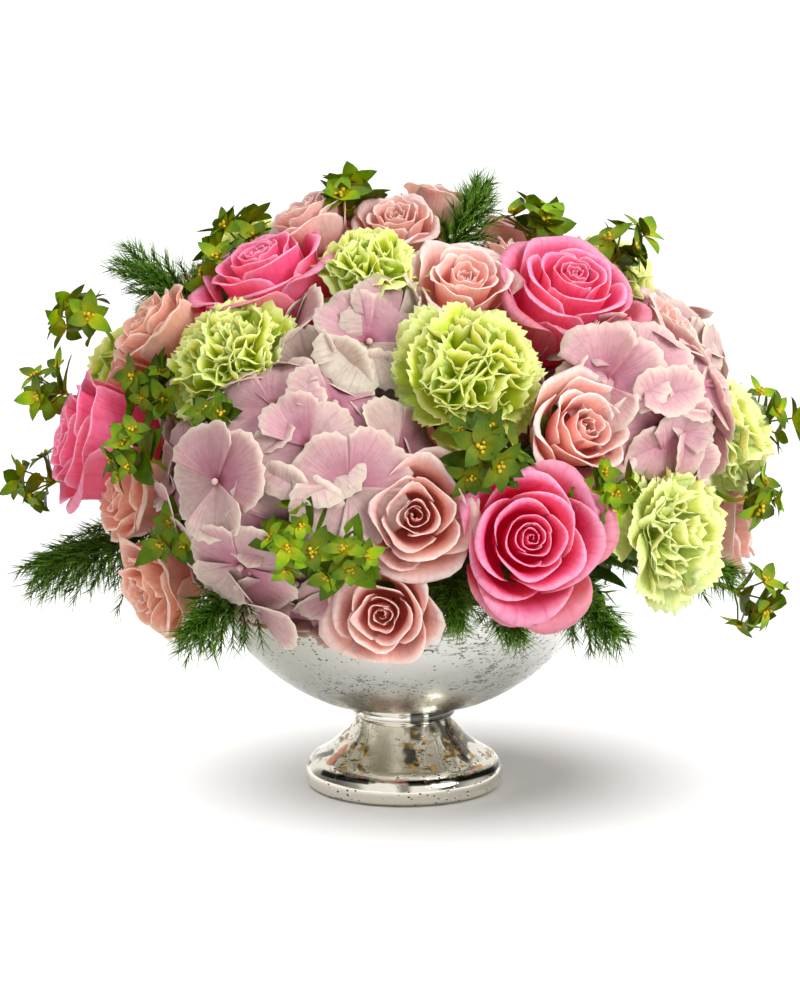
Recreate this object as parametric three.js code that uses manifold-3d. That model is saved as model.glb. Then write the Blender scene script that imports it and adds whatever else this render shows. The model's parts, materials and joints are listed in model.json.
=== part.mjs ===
// Floral table centerpiece: cut flowers and greens pushed into wet foam in a footed bowl of
// silvered glass. Millimetres, +Z up. The origin is on the table, under the middle of the foot.
// A turn of -90 degrees is the front of the arrangement, 0 is its right side.
import * as THREE from "three";
import { mergeVertices } from "three/addons/utils/BufferGeometryUtils.js";
import Module from "manifold-3d";

const wasm = await Module();
wasm.setup();

// ---- driving dimensions ----
const GAP = 0.3; // clearance kept between any two pieces

const BOWL_RADIUS = 108; // outside radius of the round bowl
const BOWL_CENTRE_Z = 145.4; // height of the middle of that round
const RIM_Z = 113; // height of the rim
const WALL = 3; // glass thickness
const NECK_RADIUS = 22.7; // the narrow neck between bowl and foot
const NECK_Z = 36;
const COLLAR_RADIUS = 25.8; // the ring over the neck
const FOOT_RADIUS = 50; // the rolled edge of the foot
const REST_OUTER = 47; // the flat ring that the bowl stands on
const REST_INNER = 38;
const FOOT_EDGE_LOW = 4; // the upright part of the rolled edge, from here
const FOOT_EDGE_HIGH = 11; // to here
const FOOT_SLOPE = [[46, 17], [37.7, 23], [29.5, 28.5]]; // from the edge up to the neck
const FOOT_HOLLOW = [[0, 31], [17, 30], [28, 20], [36, 9]]; // the foot is hollow below
const COLLAR_FROM = 2; // the collar, over the neck
const COLLAR_TO = 6;
const BOWL_LEVELS = [46, 52, 60, 72, 86, 100, RIM_Z];
const INSIDE_LEVELS = [RIM_Z, 98, 82, 66, 54, 46];
const INSIDE_FLOOR = 2; // the glass is this much thicker in the middle
const BOWL_SIDES = 28;

const FOAM_TOP_Z = 150; // the foam stands above the rim
const FOAM_TOP_RADIUS = 74;
const FOAM_SHOULDER_Z = 134;
const FOAM_SHOULDER_RADIUS = 86;
const FOAM_WAIST = [90, 117]; // where it comes out of the bowl
const FOAM_FLOOR_Z = 45;
const FOAM_LEVELS = [50, 62, 78, 94, 110];
const FOAM_SLACK = 1.2; // the foam is cut a little smaller than the bowl
const FOAM_SIDES = 20;

const TAPE_WIDTH = 12; // waterproof anchor tape, crossed over the foam
const TAPE_THICK = 0.6;
const TAPE_GRIP_Z = 104; // how far the tape ends come down outside the rim
const TAPE_OFF_GLASS = 0.5;
const TAPE_OFF_FOAM = 0.8;
const TAPE_WAIST = [92, 120];
const TAPE_SHOULDER_RADIUS = 87.5;

const FOCUS = new THREE.Vector3(0, 0, 112); // every stem points at this place in the foam
const STEM_DEPTH = 46; // a stem's cut end stops this far from it
const CALYX_DROP = 7; // a stem runs straight back from its head for this far below it
const LOW_SPREAD = 84; // a stem that starts farther out than this
const LOW_ABOVE_RIM = 20; // and lower than this over the rim has to climb over it
const OVER_RIM_SPREAD = 94;
const OVER_RIM_LIFT = 14;
const FORK_PULL = 0.12; // how far towards the focus the branches of a stem meet
const BRANCH_PART = 0.8; // a branch is this much thinner than its stem
const TOUCHING = 1.15; // heads this close, over the sum of their radii, are parted
const OUT_OF_FOAM = 3; // heads stay this far off the foam and the tape
const OUT_OF_BOWL = 2; // and this far off the glass

// ---- the cut stems ----
// at: middle of the head; face: the way it looks, as turn and rise; size: its width;
// root: where its cut end sits around the focus, where that isn't simply straight in.
const ROSES = [
  { name: "pink_rose_top_left", heads: [{ at: [-66, -28, 262], face: [-165, 62], size: 70 }] },
  { name: "pink_rose_top_right", heads: [{ at: [79, -42, 256], face: [-62, 44], size: 72 }] },
  { name: "pink_rose_front", heads: [{ at: [57, -134, 152], face: [-82, 14], size: 75 }] },
  { name: "pink_rose_left", heads: [{ at: [-152, -38, 182], face: [-170, 15], size: 70 }] },
  { name: "pink_rose_back_left", heads: [{ at: [-38, 126, 186], face: [106, 24], size: 76 }] },
  { name: "pink_rose_back_right", heads: [{ at: [84, 114, 172], face: [54, 16], size: 76 }] },
  { name: "pink_rose_back_top", heads: [{ at: [6, 92, 244], face: [86, 48], size: 78 }] },
];

const SPRAY_ROSES = [
  {
    name: "spray_rose_front",
    heads: [
      { at: [5, -142, 165], face: [-88, 12], size: 52 },
      { at: [-10, -142, 118], face: [-97, 4], size: 46 },
    ],
  },
  {
    name: "spray_rose_upper_front",
    heads: [
      { at: [29, -50, 261], face: [-75, 55], size: 50 },
      { at: [60, 6, 264], face: [10, 66], size: 42 },
    ],
  },
  {
    name: "spray_rose_crown_left",
    heads: [
      { at: [-4, -8, 286], face: [-95, 62], size: 38 },
      { at: [-49, 6, 286], face: [165, 58], size: 42 },
      { at: [-25, 34, 288], face: [105, 76], size: 24 },
    ],
  },
  {
    name: "spray_rose_crown_right",
    heads: [
      { at: [17, 32, 291], face: [50, 62], size: 34 },
      { at: [-26, 66, 278], face: [110, 58], size: 42 },
      { at: [58, 56, 268], face: [48, 56], size: 42 },
    ],
  },
  {
    name: "spray_rose_upper_left",
    heads: [
      { at: [-122, -38, 239], face: [-168, 42], size: 44 },
      { at: [-140, -14, 212], face: [178, 20], size: 26 },
    ],
  },
  { name: "spray_rose_mid_right", heads: [{ at: [84, -104, 199], face: [-58, 24], size: 52 }] },
  {
    name: "spray_rose_upper_right",
    heads: [
      { at: [132, -15, 232], face: [-8, 36], size: 44 },
      { at: [118, 52, 214], face: [28, 34], size: 46 },
    ],
  },
  {
    name: "spray_rose_lower_left",
    heads: [
      { at: [-134, -66, 162], face: [-160, 6], size: 46 },
      { at: [-121, -88, 120], face: [-150, -16], size: 46 },
    ],
  },
  {
    name: "spray_rose_lower_right",
    heads: [
      { at: [164, -8, 136], face: [-4, 4], size: 46 },
      { at: [144, 62, 132], face: [24, 2], size: 46 },
    ],
  },
  {
    name: "spray_rose_back_left",
    heads: [
      { at: [-142, 46, 158], face: [162, 10], size: 48 },
      { at: [-112, 94, 120], face: [140, -8], size: 46 },
    ],
  },
  {
    name: "spray_rose_back",
    heads: [
      { at: [6, 148, 142], face: [88, 8], size: 52 },
      { at: [56, 140, 124], face: [68, -8], size: 48 },
    ],
  },
];

const CARNATIONS = [
  { name: "carnation_left", heads: [{ at: [-82, -72, 225], face: [-128, 42], size: 64 }] },
  { name: "carnation_middle", heads: [{ at: [30, -90, 222], face: [-78, 40], size: 80 }] },
  { name: "carnation_top", heads: [{ at: [-17, -38, 262], face: [-105, 78], size: 54 }] },
  { name: "carnation_lower_right", heads: [{ at: [125, -88, 146], face: [-38, 8], size: 72 }] },
  { name: "carnation_right", heads: [{ at: [158, -12, 182], face: [-4, 16], size: 60 }] },
  { name: "carnation_back_right", heads: [{ at: [104, 44, 250], face: [22, 48], size: 58 }] },
  { name: "carnation_upper_left", heads: [{ at: [-136, 34, 206], face: [168, 30], size: 60 }] },
  { name: "carnation_back_low", heads: [{ at: [-54, 132, 132], face: [112, 6], size: 70 }] },
  { name: "carnation_back_mid", heads: [{ at: [34, 128, 192], face: [76, 26], size: 74 }] },
  { name: "carnation_back_top", heads: [{ at: [-72, 50, 256], face: [142, 52], size: 66 }] },
];

const HYDRANGEAS = [
  { name: "hydrangea_front", heads: [{ at: [-50, -90, 164], face: [-116, 18], size: 130 }] },
  { name: "hydrangea_right", heads: [{ at: [104, -52, 196], face: [-30, 34], size: 96 }] },
  { name: "hydrangea_top", heads: [{ at: [-24, -52, 222], face: [-104, 60], size: 84 }] },
  { name: "hydrangea_back_left", heads: [{ at: [-88, 74, 194], face: [140, 28], size: 118 }] },
  { name: "hydrangea_back_right", heads: [{ at: [108, 50, 188], face: [24, 26], size: 118 }] },
];

const BUPLEURUMS = [
  {
    name: "bupleurum_crown",
    heads: [{ at: [-26, 12, 306], face: [60, 62], size: 26 }],
    root: [-176, 64],
  },
  {
    name: "bupleurum_top_left",
    heads: [
      { at: [-84, 18, 278], face: [165, 58], size: 26 },
      { at: [-94, -6, 262], face: [-170, 40], size: 20 },
    ],
  },
  {
    name: "bupleurum_upper_left",
    heads: [
      { at: [-162, 4, 240], face: [178, 36], size: 26 },
      { at: [-178, -12, 206], face: [-176, 20], size: 24 },
    ],
  },
  { name: "bupleurum_far_left", heads: [{ at: [-185, -16, 160], face: [-176, 8], size: 26 }] },
  {
    name: "bupleurum_mid_left",
    heads: [
      { at: [-124, -64, 214], face: [-150, 34], size: 26 },
      { at: [-92, -106, 204], face: [-128, 24], size: 18 },
    ],
  },
  {
    name: "bupleurum_low_left",
    heads: [
      { at: [-132, -96, 186], face: [-146, 20], size: 26 },
      { at: [-112, -116, 150], face: [-134, 8], size: 20 },
    ],
  },
  {
    name: "bupleurum_front",
    heads: [
      { at: [-52, -160, 158], face: [-106, 12], size: 30 },
      { at: [-28, -160, 146], face: [-96, 0], size: 24 },
    ],
  },
  { name: "bupleurum_middle", heads: [{ at: [38, -140, 194], face: [-76, 26], size: 30 }] },
  { name: "bupleurum_mid_right", heads: [{ at: [98, -124, 174], face: [-50, 16], size: 28 }] },
  {
    name: "bupleurum_top_right",
    heads: [
      { at: [68, 22, 284], face: [20, 64], size: 26 },
      { at: [112, 12, 274], face: [6, 50], size: 26 },
    ],
  },
  {
    name: "bupleurum_far_right",
    heads: [
      { at: [185, -6, 190], face: [-2, 22], size: 26 },
      { at: [176, -40, 156], face: [-12, 10], size: 20 },
    ],
  },
  { name: "bupleurum_drooping", heads: [{ at: [176, -18, 98], face: [-5, -24], size: 26 }] },
  {
    name: "bupleurum_back_left",
    heads: [
      { at: [-76, 132, 222], face: [120, 30], size: 26 },
      { at: [-120, 118, 186], face: [136, 18], size: 24 },
    ],
  },
  {
    name: "bupleurum_back_right",
    heads: [
      { at: [86, 124, 224], face: [56, 28], size: 26 },
      { at: [138, 98, 178], face: [36, 16], size: 24 },
    ],
  },
];

// A frond lies along its face, with at in its middle; size is its length.
const FERNS = [
  { name: "fern_top_left", heads: [{ at: [-122, 8, 256], face: [176, 36], size: 72 }] },
  { name: "fern_crown", heads: [{ at: [34, 20, 292], face: [30, 62], size: 56 }] },
  { name: "fern_left", heads: [{ at: [-160, -22, 124], face: [-170, -14], size: 70 }] },
  { name: "fern_low_left", heads: [{ at: [-94, -124, 112], face: [-128, -20], size: 64 }] },
  { name: "fern_front", heads: [{ at: [24, -142, 112], face: [-84, -38], size: 50 }] },
  { name: "fern_front_right", heads: [{ at: [54, -140, 106], face: [-66, -34], size: 54 }] },
  { name: "fern_low_right", heads: [{ at: [98, -126, 108], face: [-52, -20], size: 66 }] },
  { name: "fern_right", heads: [{ at: [158, -46, 120], face: [-18, -10], size: 62 }] },
  { name: "fern_back_left", heads: [{ at: [-92, 132, 118], face: [126, -14], size: 66 }] },
  { name: "fern_back_right", heads: [{ at: [106, 124, 116], face: [50, -14], size: 66 }] },
];

// Each kind of stem: the outline of its head, as radius and height over the head's width,
// how many sides it has, the stem's radius and its sides, and the material.
const KINDS = {
  rose: {
    outline: [
      [0, -0.5], [0.1, -0.48], [0.17, -0.36], [0.4, -0.2],
      [0.5, 0.04], [0.44, 0.24], [0.2, 0.36], [0, 0.36],
    ],
    sides: 8,
    flat: 1,
    stem: { radius: 2.6, sides: 6 },
    material: material("#f06e96", 0.6),
  },
  spray: {
    outline: [[0, -0.5], [0.14, -0.46], [0.42, -0.16], [0.5, 0.1], [0.32, 0.32], [0, 0.38]],
    sides: 7,
    flat: 1,
    stem: { radius: 1.7, sides: 5 },
    material: material("#f5c3b4", 0.6),
  },
  carnation: {
    outline: [
      [0, -0.6], [0.11, -0.58], [0.12, -0.32], [0.4, -0.18],
      [0.5, 0.04], [0.4, 0.28], [0, 0.4],
    ],
    sides: 8,
    flat: 1,
    stem: { radius: 2, sides: 5 },
    material: material("#cbdc74", 0.7),
  },
  hydrangea: {
    outline: [
      [0, -0.34], [0.2, -0.32], [0.44, -0.16], [0.5, 0.04],
      [0.4, 0.26], [0.2, 0.38], [0, 0.4],
    ],
    sides: 10,
    flat: 1,
    stem: { radius: 3, sides: 6 },
    material: material("#e4c6ce", 0.65),
  },
  bupleurum: {
    outline: [[0, -0.2], [0.2, -0.16], [0.5, 0], [0.24, 0.18], [0, 0.2]],
    sides: 6,
    flat: 1,
    stem: { radius: 1, sides: 4 },
    material: material("#7aa22c", 0.6),
  },
  fern: {
    outline: [[0, -0.5], [0.1, -0.36], [0.28, 0], [0.2, 0.3], [0, 0.5]],
    sides: 6,
    flat: 0.3,
    stem: { radius: 1.1, sides: 4 },
    material: material("#2c5f26", 0.7),
  },
};

// ---- helpers ----
function material(color, roughness, metalness = 0) {
  return new THREE.MeshStandardMaterial({ color, roughness, metalness });
}

function direction([turn, rise]) {
  const t = THREE.MathUtils.degToRad(turn);
  const r = THREE.MathUtils.degToRad(rise);
  return new THREE.Vector3(Math.cos(r) * Math.cos(t), Math.cos(r) * Math.sin(t), Math.sin(r));
}

function solidOf(geometry) {
  const bare = geometry.index ? geometry.toNonIndexed() : geometry.clone();
  bare.deleteAttribute("normal");
  bare.deleteAttribute("uv");
  const merged = mergeVertices(bare, 1e-3);
  const corners = Array.from(merged.index.array);
  const triangles = [];
  for (let i = 0; i < corners.length; i += 3) {
    const [a, b, c] = corners.slice(i, i + 3);
    if (a !== b && b !== c && c !== a) triangles.push(a, b, c);
  }
  return new wasm.Manifold(new wasm.Mesh({
    numProp: 3,
    vertProperties: Float32Array.from(merged.attributes.position.array),
    triVerts: Uint32Array.from(triangles),
  }));
}

function meshOf(solid, name, look) {
  const { numProp, vertProperties, triVerts } = solid.getMesh();
  const geometry = new THREE.BufferGeometry();
  const buffer = new THREE.InterleavedBuffer(vertProperties, numProp);
  geometry.setAttribute("position", new THREE.InterleavedBufferAttribute(buffer, 3, 0));
  geometry.setIndex(new THREE.BufferAttribute(triVerts, 1));
  const mesh = new THREE.Mesh(geometry, look);
  mesh.name = name;
  return mesh;
}

// A closed turned solid about Z, from an outline of [radius, height] pairs.
function turned(outline, sides) {
  const points = outline.map(([radius, height]) => new THREE.Vector2(radius, height));
  return new THREE.LatheGeometry(points, sides).rotateX(Math.PI / 2);
}

function tube(points, radius, sides) {
  const ring = [];
  for (let i = 0; i < sides; i++) {
    const angle = (i / sides) * 2 * Math.PI;
    ring.push(new THREE.Vector2(radius * Math.cos(angle), radius * Math.sin(angle)));
  }
  const extrudePath = new THREE.CatmullRomCurve3(points, false, "centripetal");
  const steps = points.length;
  return new THREE.ExtrudeGeometry(new THREE.Shape(ring), { steps, extrudePath, curveSegments: 1 });
}

// ---- bowl, foam and tape ----
function bowlInside(z) {
  return Math.sqrt((BOWL_RADIUS - WALL) ** 2 - (BOWL_CENTRE_Z - z) ** 2);
}

function bowlOutside(z) {
  return Math.sqrt(BOWL_RADIUS ** 2 - (BOWL_CENTRE_Z - z) ** 2);
}

function glassBowl() {
  const underFoot = [...FOOT_HOLLOW, [REST_INNER, 0]];
  const foot = [
    [REST_OUTER, 0], [FOOT_RADIUS, FOOT_EDGE_LOW], [FOOT_RADIUS, FOOT_EDGE_HIGH], ...FOOT_SLOPE,
    [NECK_RADIUS, NECK_Z],
    [COLLAR_RADIUS, NECK_Z + COLLAR_FROM], [COLLAR_RADIUS, NECK_Z + COLLAR_TO],
  ];
  const outside = BOWL_LEVELS.map((z) => [bowlOutside(z), z]);
  const inside = INSIDE_LEVELS.map((z) => [bowlInside(z), z]);
  const floor = [0, BOWL_CENTRE_Z - BOWL_RADIUS + WALL + INSIDE_FLOOR];
  return solidOf(turned([...underFoot, ...foot, ...outside, ...inside, floor], BOWL_SIDES));
}

function foamBlock() {
  const inBowl = FOAM_LEVELS.map((z) => [bowlInside(z) - GAP - FOAM_SLACK, z]);
  const outline = [
    [0, FOAM_FLOOR_Z], ...inBowl, FOAM_WAIST, [FOAM_SHOULDER_RADIUS, FOAM_SHOULDER_Z],
    [FOAM_TOP_RADIUS, FOAM_TOP_Z], [0, FOAM_TOP_Z],
  ];
  return solidOf(turned(outline, FOAM_SIDES));
}

// Everything that a flower head has to stay out of: the bowl, the foam and the tape.
function keptClear() {
  const top = FOAM_TOP_Z + OUT_OF_FOAM;
  const belowBowl = [[0, 20], [40, 20]];
  const besideBowl = BOWL_LEVELS.map((z) => [bowlOutside(z) + OUT_OF_BOWL, z]);
  const overRim = [bowlOutside(RIM_Z) + OUT_OF_BOWL, RIM_Z + OUT_OF_FOAM];
  const besideFoam = [
    [TAPE_WAIST[0] + OUT_OF_FOAM, TAPE_WAIST[1] + 1],
    [FOAM_SHOULDER_RADIUS + OUT_OF_FOAM + 2, FOAM_SHOULDER_Z + 2],
    [FOAM_TOP_RADIUS + OUT_OF_FOAM, top],
  ];
  return solidOf(turned([...belowBowl, ...besideBowl, overRim, ...besideFoam, [0, top]], BOWL_SIDES));
}

// One strip of tape: up from outside the rim, over the foam and down the other side.
function tapeStrip() {
  const rim = bowlOutside(RIM_Z) + TAPE_OFF_GLASS;
  const route = [
    [bowlOutside(TAPE_GRIP_Z) + TAPE_OFF_GLASS, TAPE_GRIP_Z],
    [rim, RIM_Z],
    [rim - 1, RIM_Z + TAPE_OFF_FOAM],
    TAPE_WAIST,
    [TAPE_SHOULDER_RADIUS, FOAM_SHOULDER_Z + TAPE_OFF_GLASS],
    [FOAM_TOP_RADIUS + 1, FOAM_TOP_Z + TAPE_OFF_FOAM],
  ];
  const over = [...route, ...route.map(([x, z]) => [-x, z]).reverse()];
  const outer = over.map(([x, z]) => [x * (1 + TAPE_THICK / 100), z + TAPE_THICK]);
  outer[0][1] = TAPE_GRIP_Z;
  outer[outer.length - 1][1] = TAPE_GRIP_Z;
  const closed = [...over, ...outer.reverse()];
  const shape = new THREE.Shape(closed.map(([x, z]) => new THREE.Vector2(x, z)));
  const strip = new THREE.ExtrudeGeometry(shape, { depth: TAPE_WIDTH, bevelEnabled: false });
  return strip.translate(0, 0, -TAPE_WIDTH / 2).rotateX(Math.PI / 2);
}

function anchorTape() {
  const alongX = solidOf(tapeStrip());
  const alongY = solidOf(tapeStrip().rotateZ(Math.PI / 2));
  return alongX.add(alongY);
}

// ---- one cut stem: a head or several on one branching stem ----
function headSolid(kind, head, grow = 0) {
  const scale = head.size + 2 * grow;
  const outline = kind.outline.map(([radius, height]) => [radius * scale, height * scale]);
  const geometry = turned(outline, kind.sides).scale(1, kind.flat, 1);
  const up = new THREE.Vector3(0, 0, 1);
  const turn = new THREE.Quaternion().setFromUnitVectors(up, direction(head.face));
  geometry.applyQuaternion(turn).translate(...head.at);
  return solidOf(geometry);
}

// Where the stem leaves the head, a little below its calyx.
function underHead(head) {
  const drop = head.size / 2 + CALYX_DROP;
  return new THREE.Vector3(...head.at).addScaledVector(direction(head.face), -drop);
}

function stemRoute(head, target) {
  const start = new THREE.Vector3(...head.at);
  return [start, underHead(head), ...target];
}

// The way into the foam from a place outside it; a low one first climbs over the rim.
function intoFoam(from, root) {
  const route = [];
  const spread = Math.hypot(from.x, from.y);
  let last = from;
  if (spread > LOW_SPREAD && from.z < RIM_Z + LOW_ABOVE_RIM) {
    const inwards = OVER_RIM_SPREAD / spread;
    last = new THREE.Vector3(from.x * inwards, from.y * inwards, RIM_Z + OVER_RIM_LIFT);
    route.push(last);
  }
  const inward = root ? direction(root) : last.clone().sub(FOCUS).normalize();
  route.push(FOCUS.clone().addScaledVector(inward, STEM_DEPTH));
  return route;
}

function stemSolid({ heads, root }, kind, grow = 0) {
  const { radius, sides } = kind.stem;
  if (heads.length === 1) {
    const route = stemRoute(heads[0], intoFoam(underHead(heads[0]), root));
    return solidOf(tube(route, radius + grow, sides));
  }
  const fork = new THREE.Vector3();
  for (const head of heads) fork.add(underHead(head));
  fork.divideScalar(heads.length).lerp(FOCUS, FORK_PULL);
  const above = fork.clone().lerp(underHead(heads[0]), 0.1);
  let stem = solidOf(tube([above, ...intoFoam(fork, root)], radius + grow, sides));
  for (const head of heads) {
    const branch = tube(stemRoute(head, [fork]), radius * BRANCH_PART + grow, sides);
    stem = stem.add(solidOf(branch));
  }
  return stem;
}

// The half of space on b's side of the plane between two heads, as a big box.
function beyond(a, b) {
  const from = new THREE.Vector3(...a.at);
  const along = new THREE.Vector3(...b.at).sub(from);
  const apart = along.length();
  along.normalize();
  const split = (apart ** 2 + (a.size / 2) ** 2 - (b.size / 2) ** 2) / (2 * apart) - GAP / 2;
  const reach = 200;
  const box = new THREE.BoxGeometry(reach, reach, reach).translate(0, 0, reach / 2);
  const turn = new THREE.Quaternion().setFromUnitVectors(new THREE.Vector3(0, 0, 1), along);
  box.applyQuaternion(turn).translate(...from.addScaledVector(along, split).toArray());
  return solidOf(box);
}

// ---- putting the arrangement together ----
const KIND_OF_LIST = [
  [ROSES, KINDS.rose], [SPRAY_ROSES, KINDS.spray], [CARNATIONS, KINDS.carnation],
  [HYDRANGEAS, KINDS.hydrangea], [BUPLEURUMS, KINDS.bupleurum], [FERNS, KINDS.fern],
];
const CUT_STEMS = [];
for (const [list, kind] of KIND_OF_LIST) {
  for (const row of list) {
    const green = kind === KINDS.bupleurum || kind === KINDS.fern;
    const stem = stemSolid(row, kind);
    const hole = stemSolid(row, kind, GAP);
    CUT_STEMS.push({ ...row, kind, green, stem, hole });
  }
}

const clear = keptClear();

function near(a, b) {
  const apart = new THREE.Vector3(...a.at).distanceTo(new THREE.Vector3(...b.at));
  return apart < (a.size + b.size) / 2 * TOUCHING;
}

// Greens first: they are thin, and the flower heads make room for them.
const earlierGreens = [];
for (const cut of CUT_STEMS.filter((row) => row.green)) {
  let leaves = cut.heads.map((head) => headSolid(cut.kind, head)).reduce((a, b) => a.add(b));
  leaves = leaves.subtract(clear);
  for (const other of CUT_STEMS) if (other !== cut) leaves = leaves.subtract(other.hole);
  for (const other of earlierGreens) leaves = leaves.subtract(other);
  cut.solid = leaves.add(cut.stem);
  cut.room = cut.heads.map((head) => headSolid(cut.kind, head, GAP)).reduce((a, b) => a.add(b));
  earlierGreens.push(cut.room);
}

for (const cut of CUT_STEMS.filter((row) => !row.green)) {
  let petals = null;
  for (const head of cut.heads) {
    let bloom = headSolid(cut.kind, head);
    for (const other of CUT_STEMS) {
      if (other === cut || other.green) continue;
      for (const rival of other.heads) if (near(head, rival)) bloom = bloom.subtract(beyond(head, rival));
    }
    petals = petals ? petals.add(bloom) : bloom;
  }
  petals = petals.subtract(clear);
  for (const other of CUT_STEMS) {
    if (other === cut) continue;
    petals = petals.subtract(other.hole);
    if (other.green) petals = petals.subtract(other.room);
  }
  cut.solid = petals.add(cut.stem);
}

let foam = foamBlock();
let strips = anchorTape();
for (const cut of CUT_STEMS) {
  foam = foam.subtract(cut.hole);
  strips = strips.subtract(cut.hole);
}

const vessel = new THREE.Group();
vessel.add(meshOf(glassBowl(), "glass_bowl", material("#c9c6bd", 0.2, 0.9)));
vessel.add(meshOf(foam, "floral_foam", material("#3d6b45", 0.95)));
vessel.add(meshOf(strips, "anchor_tape", material("#2f6b3a", 0.5)));

const flowers = new THREE.Group();
for (const cut of CUT_STEMS) flowers.add(meshOf(cut.solid, cut.name, cut.kind.material));

const centerpiece = new THREE.Group();
centerpiece.add(vessel, flowers);
export default centerpiece;
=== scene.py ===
# %% [markdown]
# # A floral centerpiece in a footed bowl of silvered glass
# Cut roses, spray roses, carnations, hydrangeas, bupleurum and fern stand in soaked foam.
# The solids of the packed model say where every stem and head is. Here each of them gets its
# real surface: petals, bracts, needles and the old-looking mirror of the bowl.

# %% Load the fixed frame
import json
import math
import random
import time

import bpy
import numpy as np
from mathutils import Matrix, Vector

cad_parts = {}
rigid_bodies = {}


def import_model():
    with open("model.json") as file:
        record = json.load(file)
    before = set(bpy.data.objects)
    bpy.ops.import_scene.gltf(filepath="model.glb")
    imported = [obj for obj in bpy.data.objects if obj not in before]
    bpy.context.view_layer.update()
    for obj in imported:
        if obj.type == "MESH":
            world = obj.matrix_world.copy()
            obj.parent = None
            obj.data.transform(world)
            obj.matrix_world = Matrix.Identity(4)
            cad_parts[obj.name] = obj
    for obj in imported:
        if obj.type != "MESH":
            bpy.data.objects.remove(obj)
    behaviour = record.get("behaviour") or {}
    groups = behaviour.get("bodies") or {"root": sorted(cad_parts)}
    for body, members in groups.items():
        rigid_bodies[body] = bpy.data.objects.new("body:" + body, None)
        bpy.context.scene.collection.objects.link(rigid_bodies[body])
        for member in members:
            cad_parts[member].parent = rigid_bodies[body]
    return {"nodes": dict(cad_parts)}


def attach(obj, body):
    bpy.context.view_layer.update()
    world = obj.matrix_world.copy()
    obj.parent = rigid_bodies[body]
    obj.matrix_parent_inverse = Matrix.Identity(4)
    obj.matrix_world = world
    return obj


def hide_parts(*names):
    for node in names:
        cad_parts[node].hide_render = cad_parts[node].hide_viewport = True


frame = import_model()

started = time.time()
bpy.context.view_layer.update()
MM = 0.001

# %% [markdown]
# ## Camera
# The arrangement is looked at from a little above. A camera close by would make the front
# flowers too big for the back ones, so it stands two metres away and has a long lens.

# %% Camera
PICTURE_LONG_SIDE = 1000
SENSOR = 36.0
LENS_IN_PIXELS = 4069.0
EYE = Vector((-0.002, -2.0, 0.517))
LOOK_AT = Vector((0.0, 0.0, 0.146))

camera_data = bpy.data.cameras.new("studio_camera")
camera_data.sensor_width = SENSOR
camera_data.lens = LENS_IN_PIXELS * SENSOR / PICTURE_LONG_SIDE
camera_data.clip_end = 60.0
camera = bpy.data.objects.new("studio_camera", camera_data)
bpy.context.scene.collection.objects.link(camera)
camera.location = EYE
camera.rotation_euler = (math.pi / 2 - math.atan2(EYE.z - LOOK_AT.z, -EYE.y), 0.0, 0.0)
bpy.context.scene.camera = camera
print("lens", round(camera_data.lens, 1), "mm")

# %% [markdown]
# ## Tools for the bench
# Every piece below is made with the same few moves: deselect everything, work on one object,
# apply its modifier, give it its material. Colours are easier to choose as they look on a
# screen than as the linear values that a shader reads, so one tool turns them into those.


# %% Small tools for working as by hand
def deselect_all():
    bpy.ops.object.select_all(action="DESELECT")


def linear(red, green, blue):
    """A screen colour of 0 to 255 as the linear colour that a shader wants."""
    def one(value):
        value /= 255.0
        return value / 12.92 if value <= 0.04045 else ((value + 0.055) / 1.055) ** 2.4
    return (one(red), one(green), one(blue), 1.0)


def apply_modifier(piece, kind, **settings):
    deselect_all()
    piece.select_set(True)
    bpy.context.view_layer.objects.active = piece
    modifier = piece.modifiers.new(kind.lower(), kind)
    for key, value in settings.items():
        setattr(modifier, key, value)
    bpy.ops.object.modifier_apply(modifier=modifier.name)


def paint(piece, material):
    piece.data.materials.clear()
    piece.data.materials.append(material)


print("white as a linear colour", linear(255, 255, 255))

# %% [markdown]
# ## Short calls for nodes
# A material is a tree of nodes. Made one by one, each takes four or five lines, and the
# finishes here have a few hundred. So a small class makes a node, fills its inputs and
# hands back its output in one call. An input takes a value or the output of another node.


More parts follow.
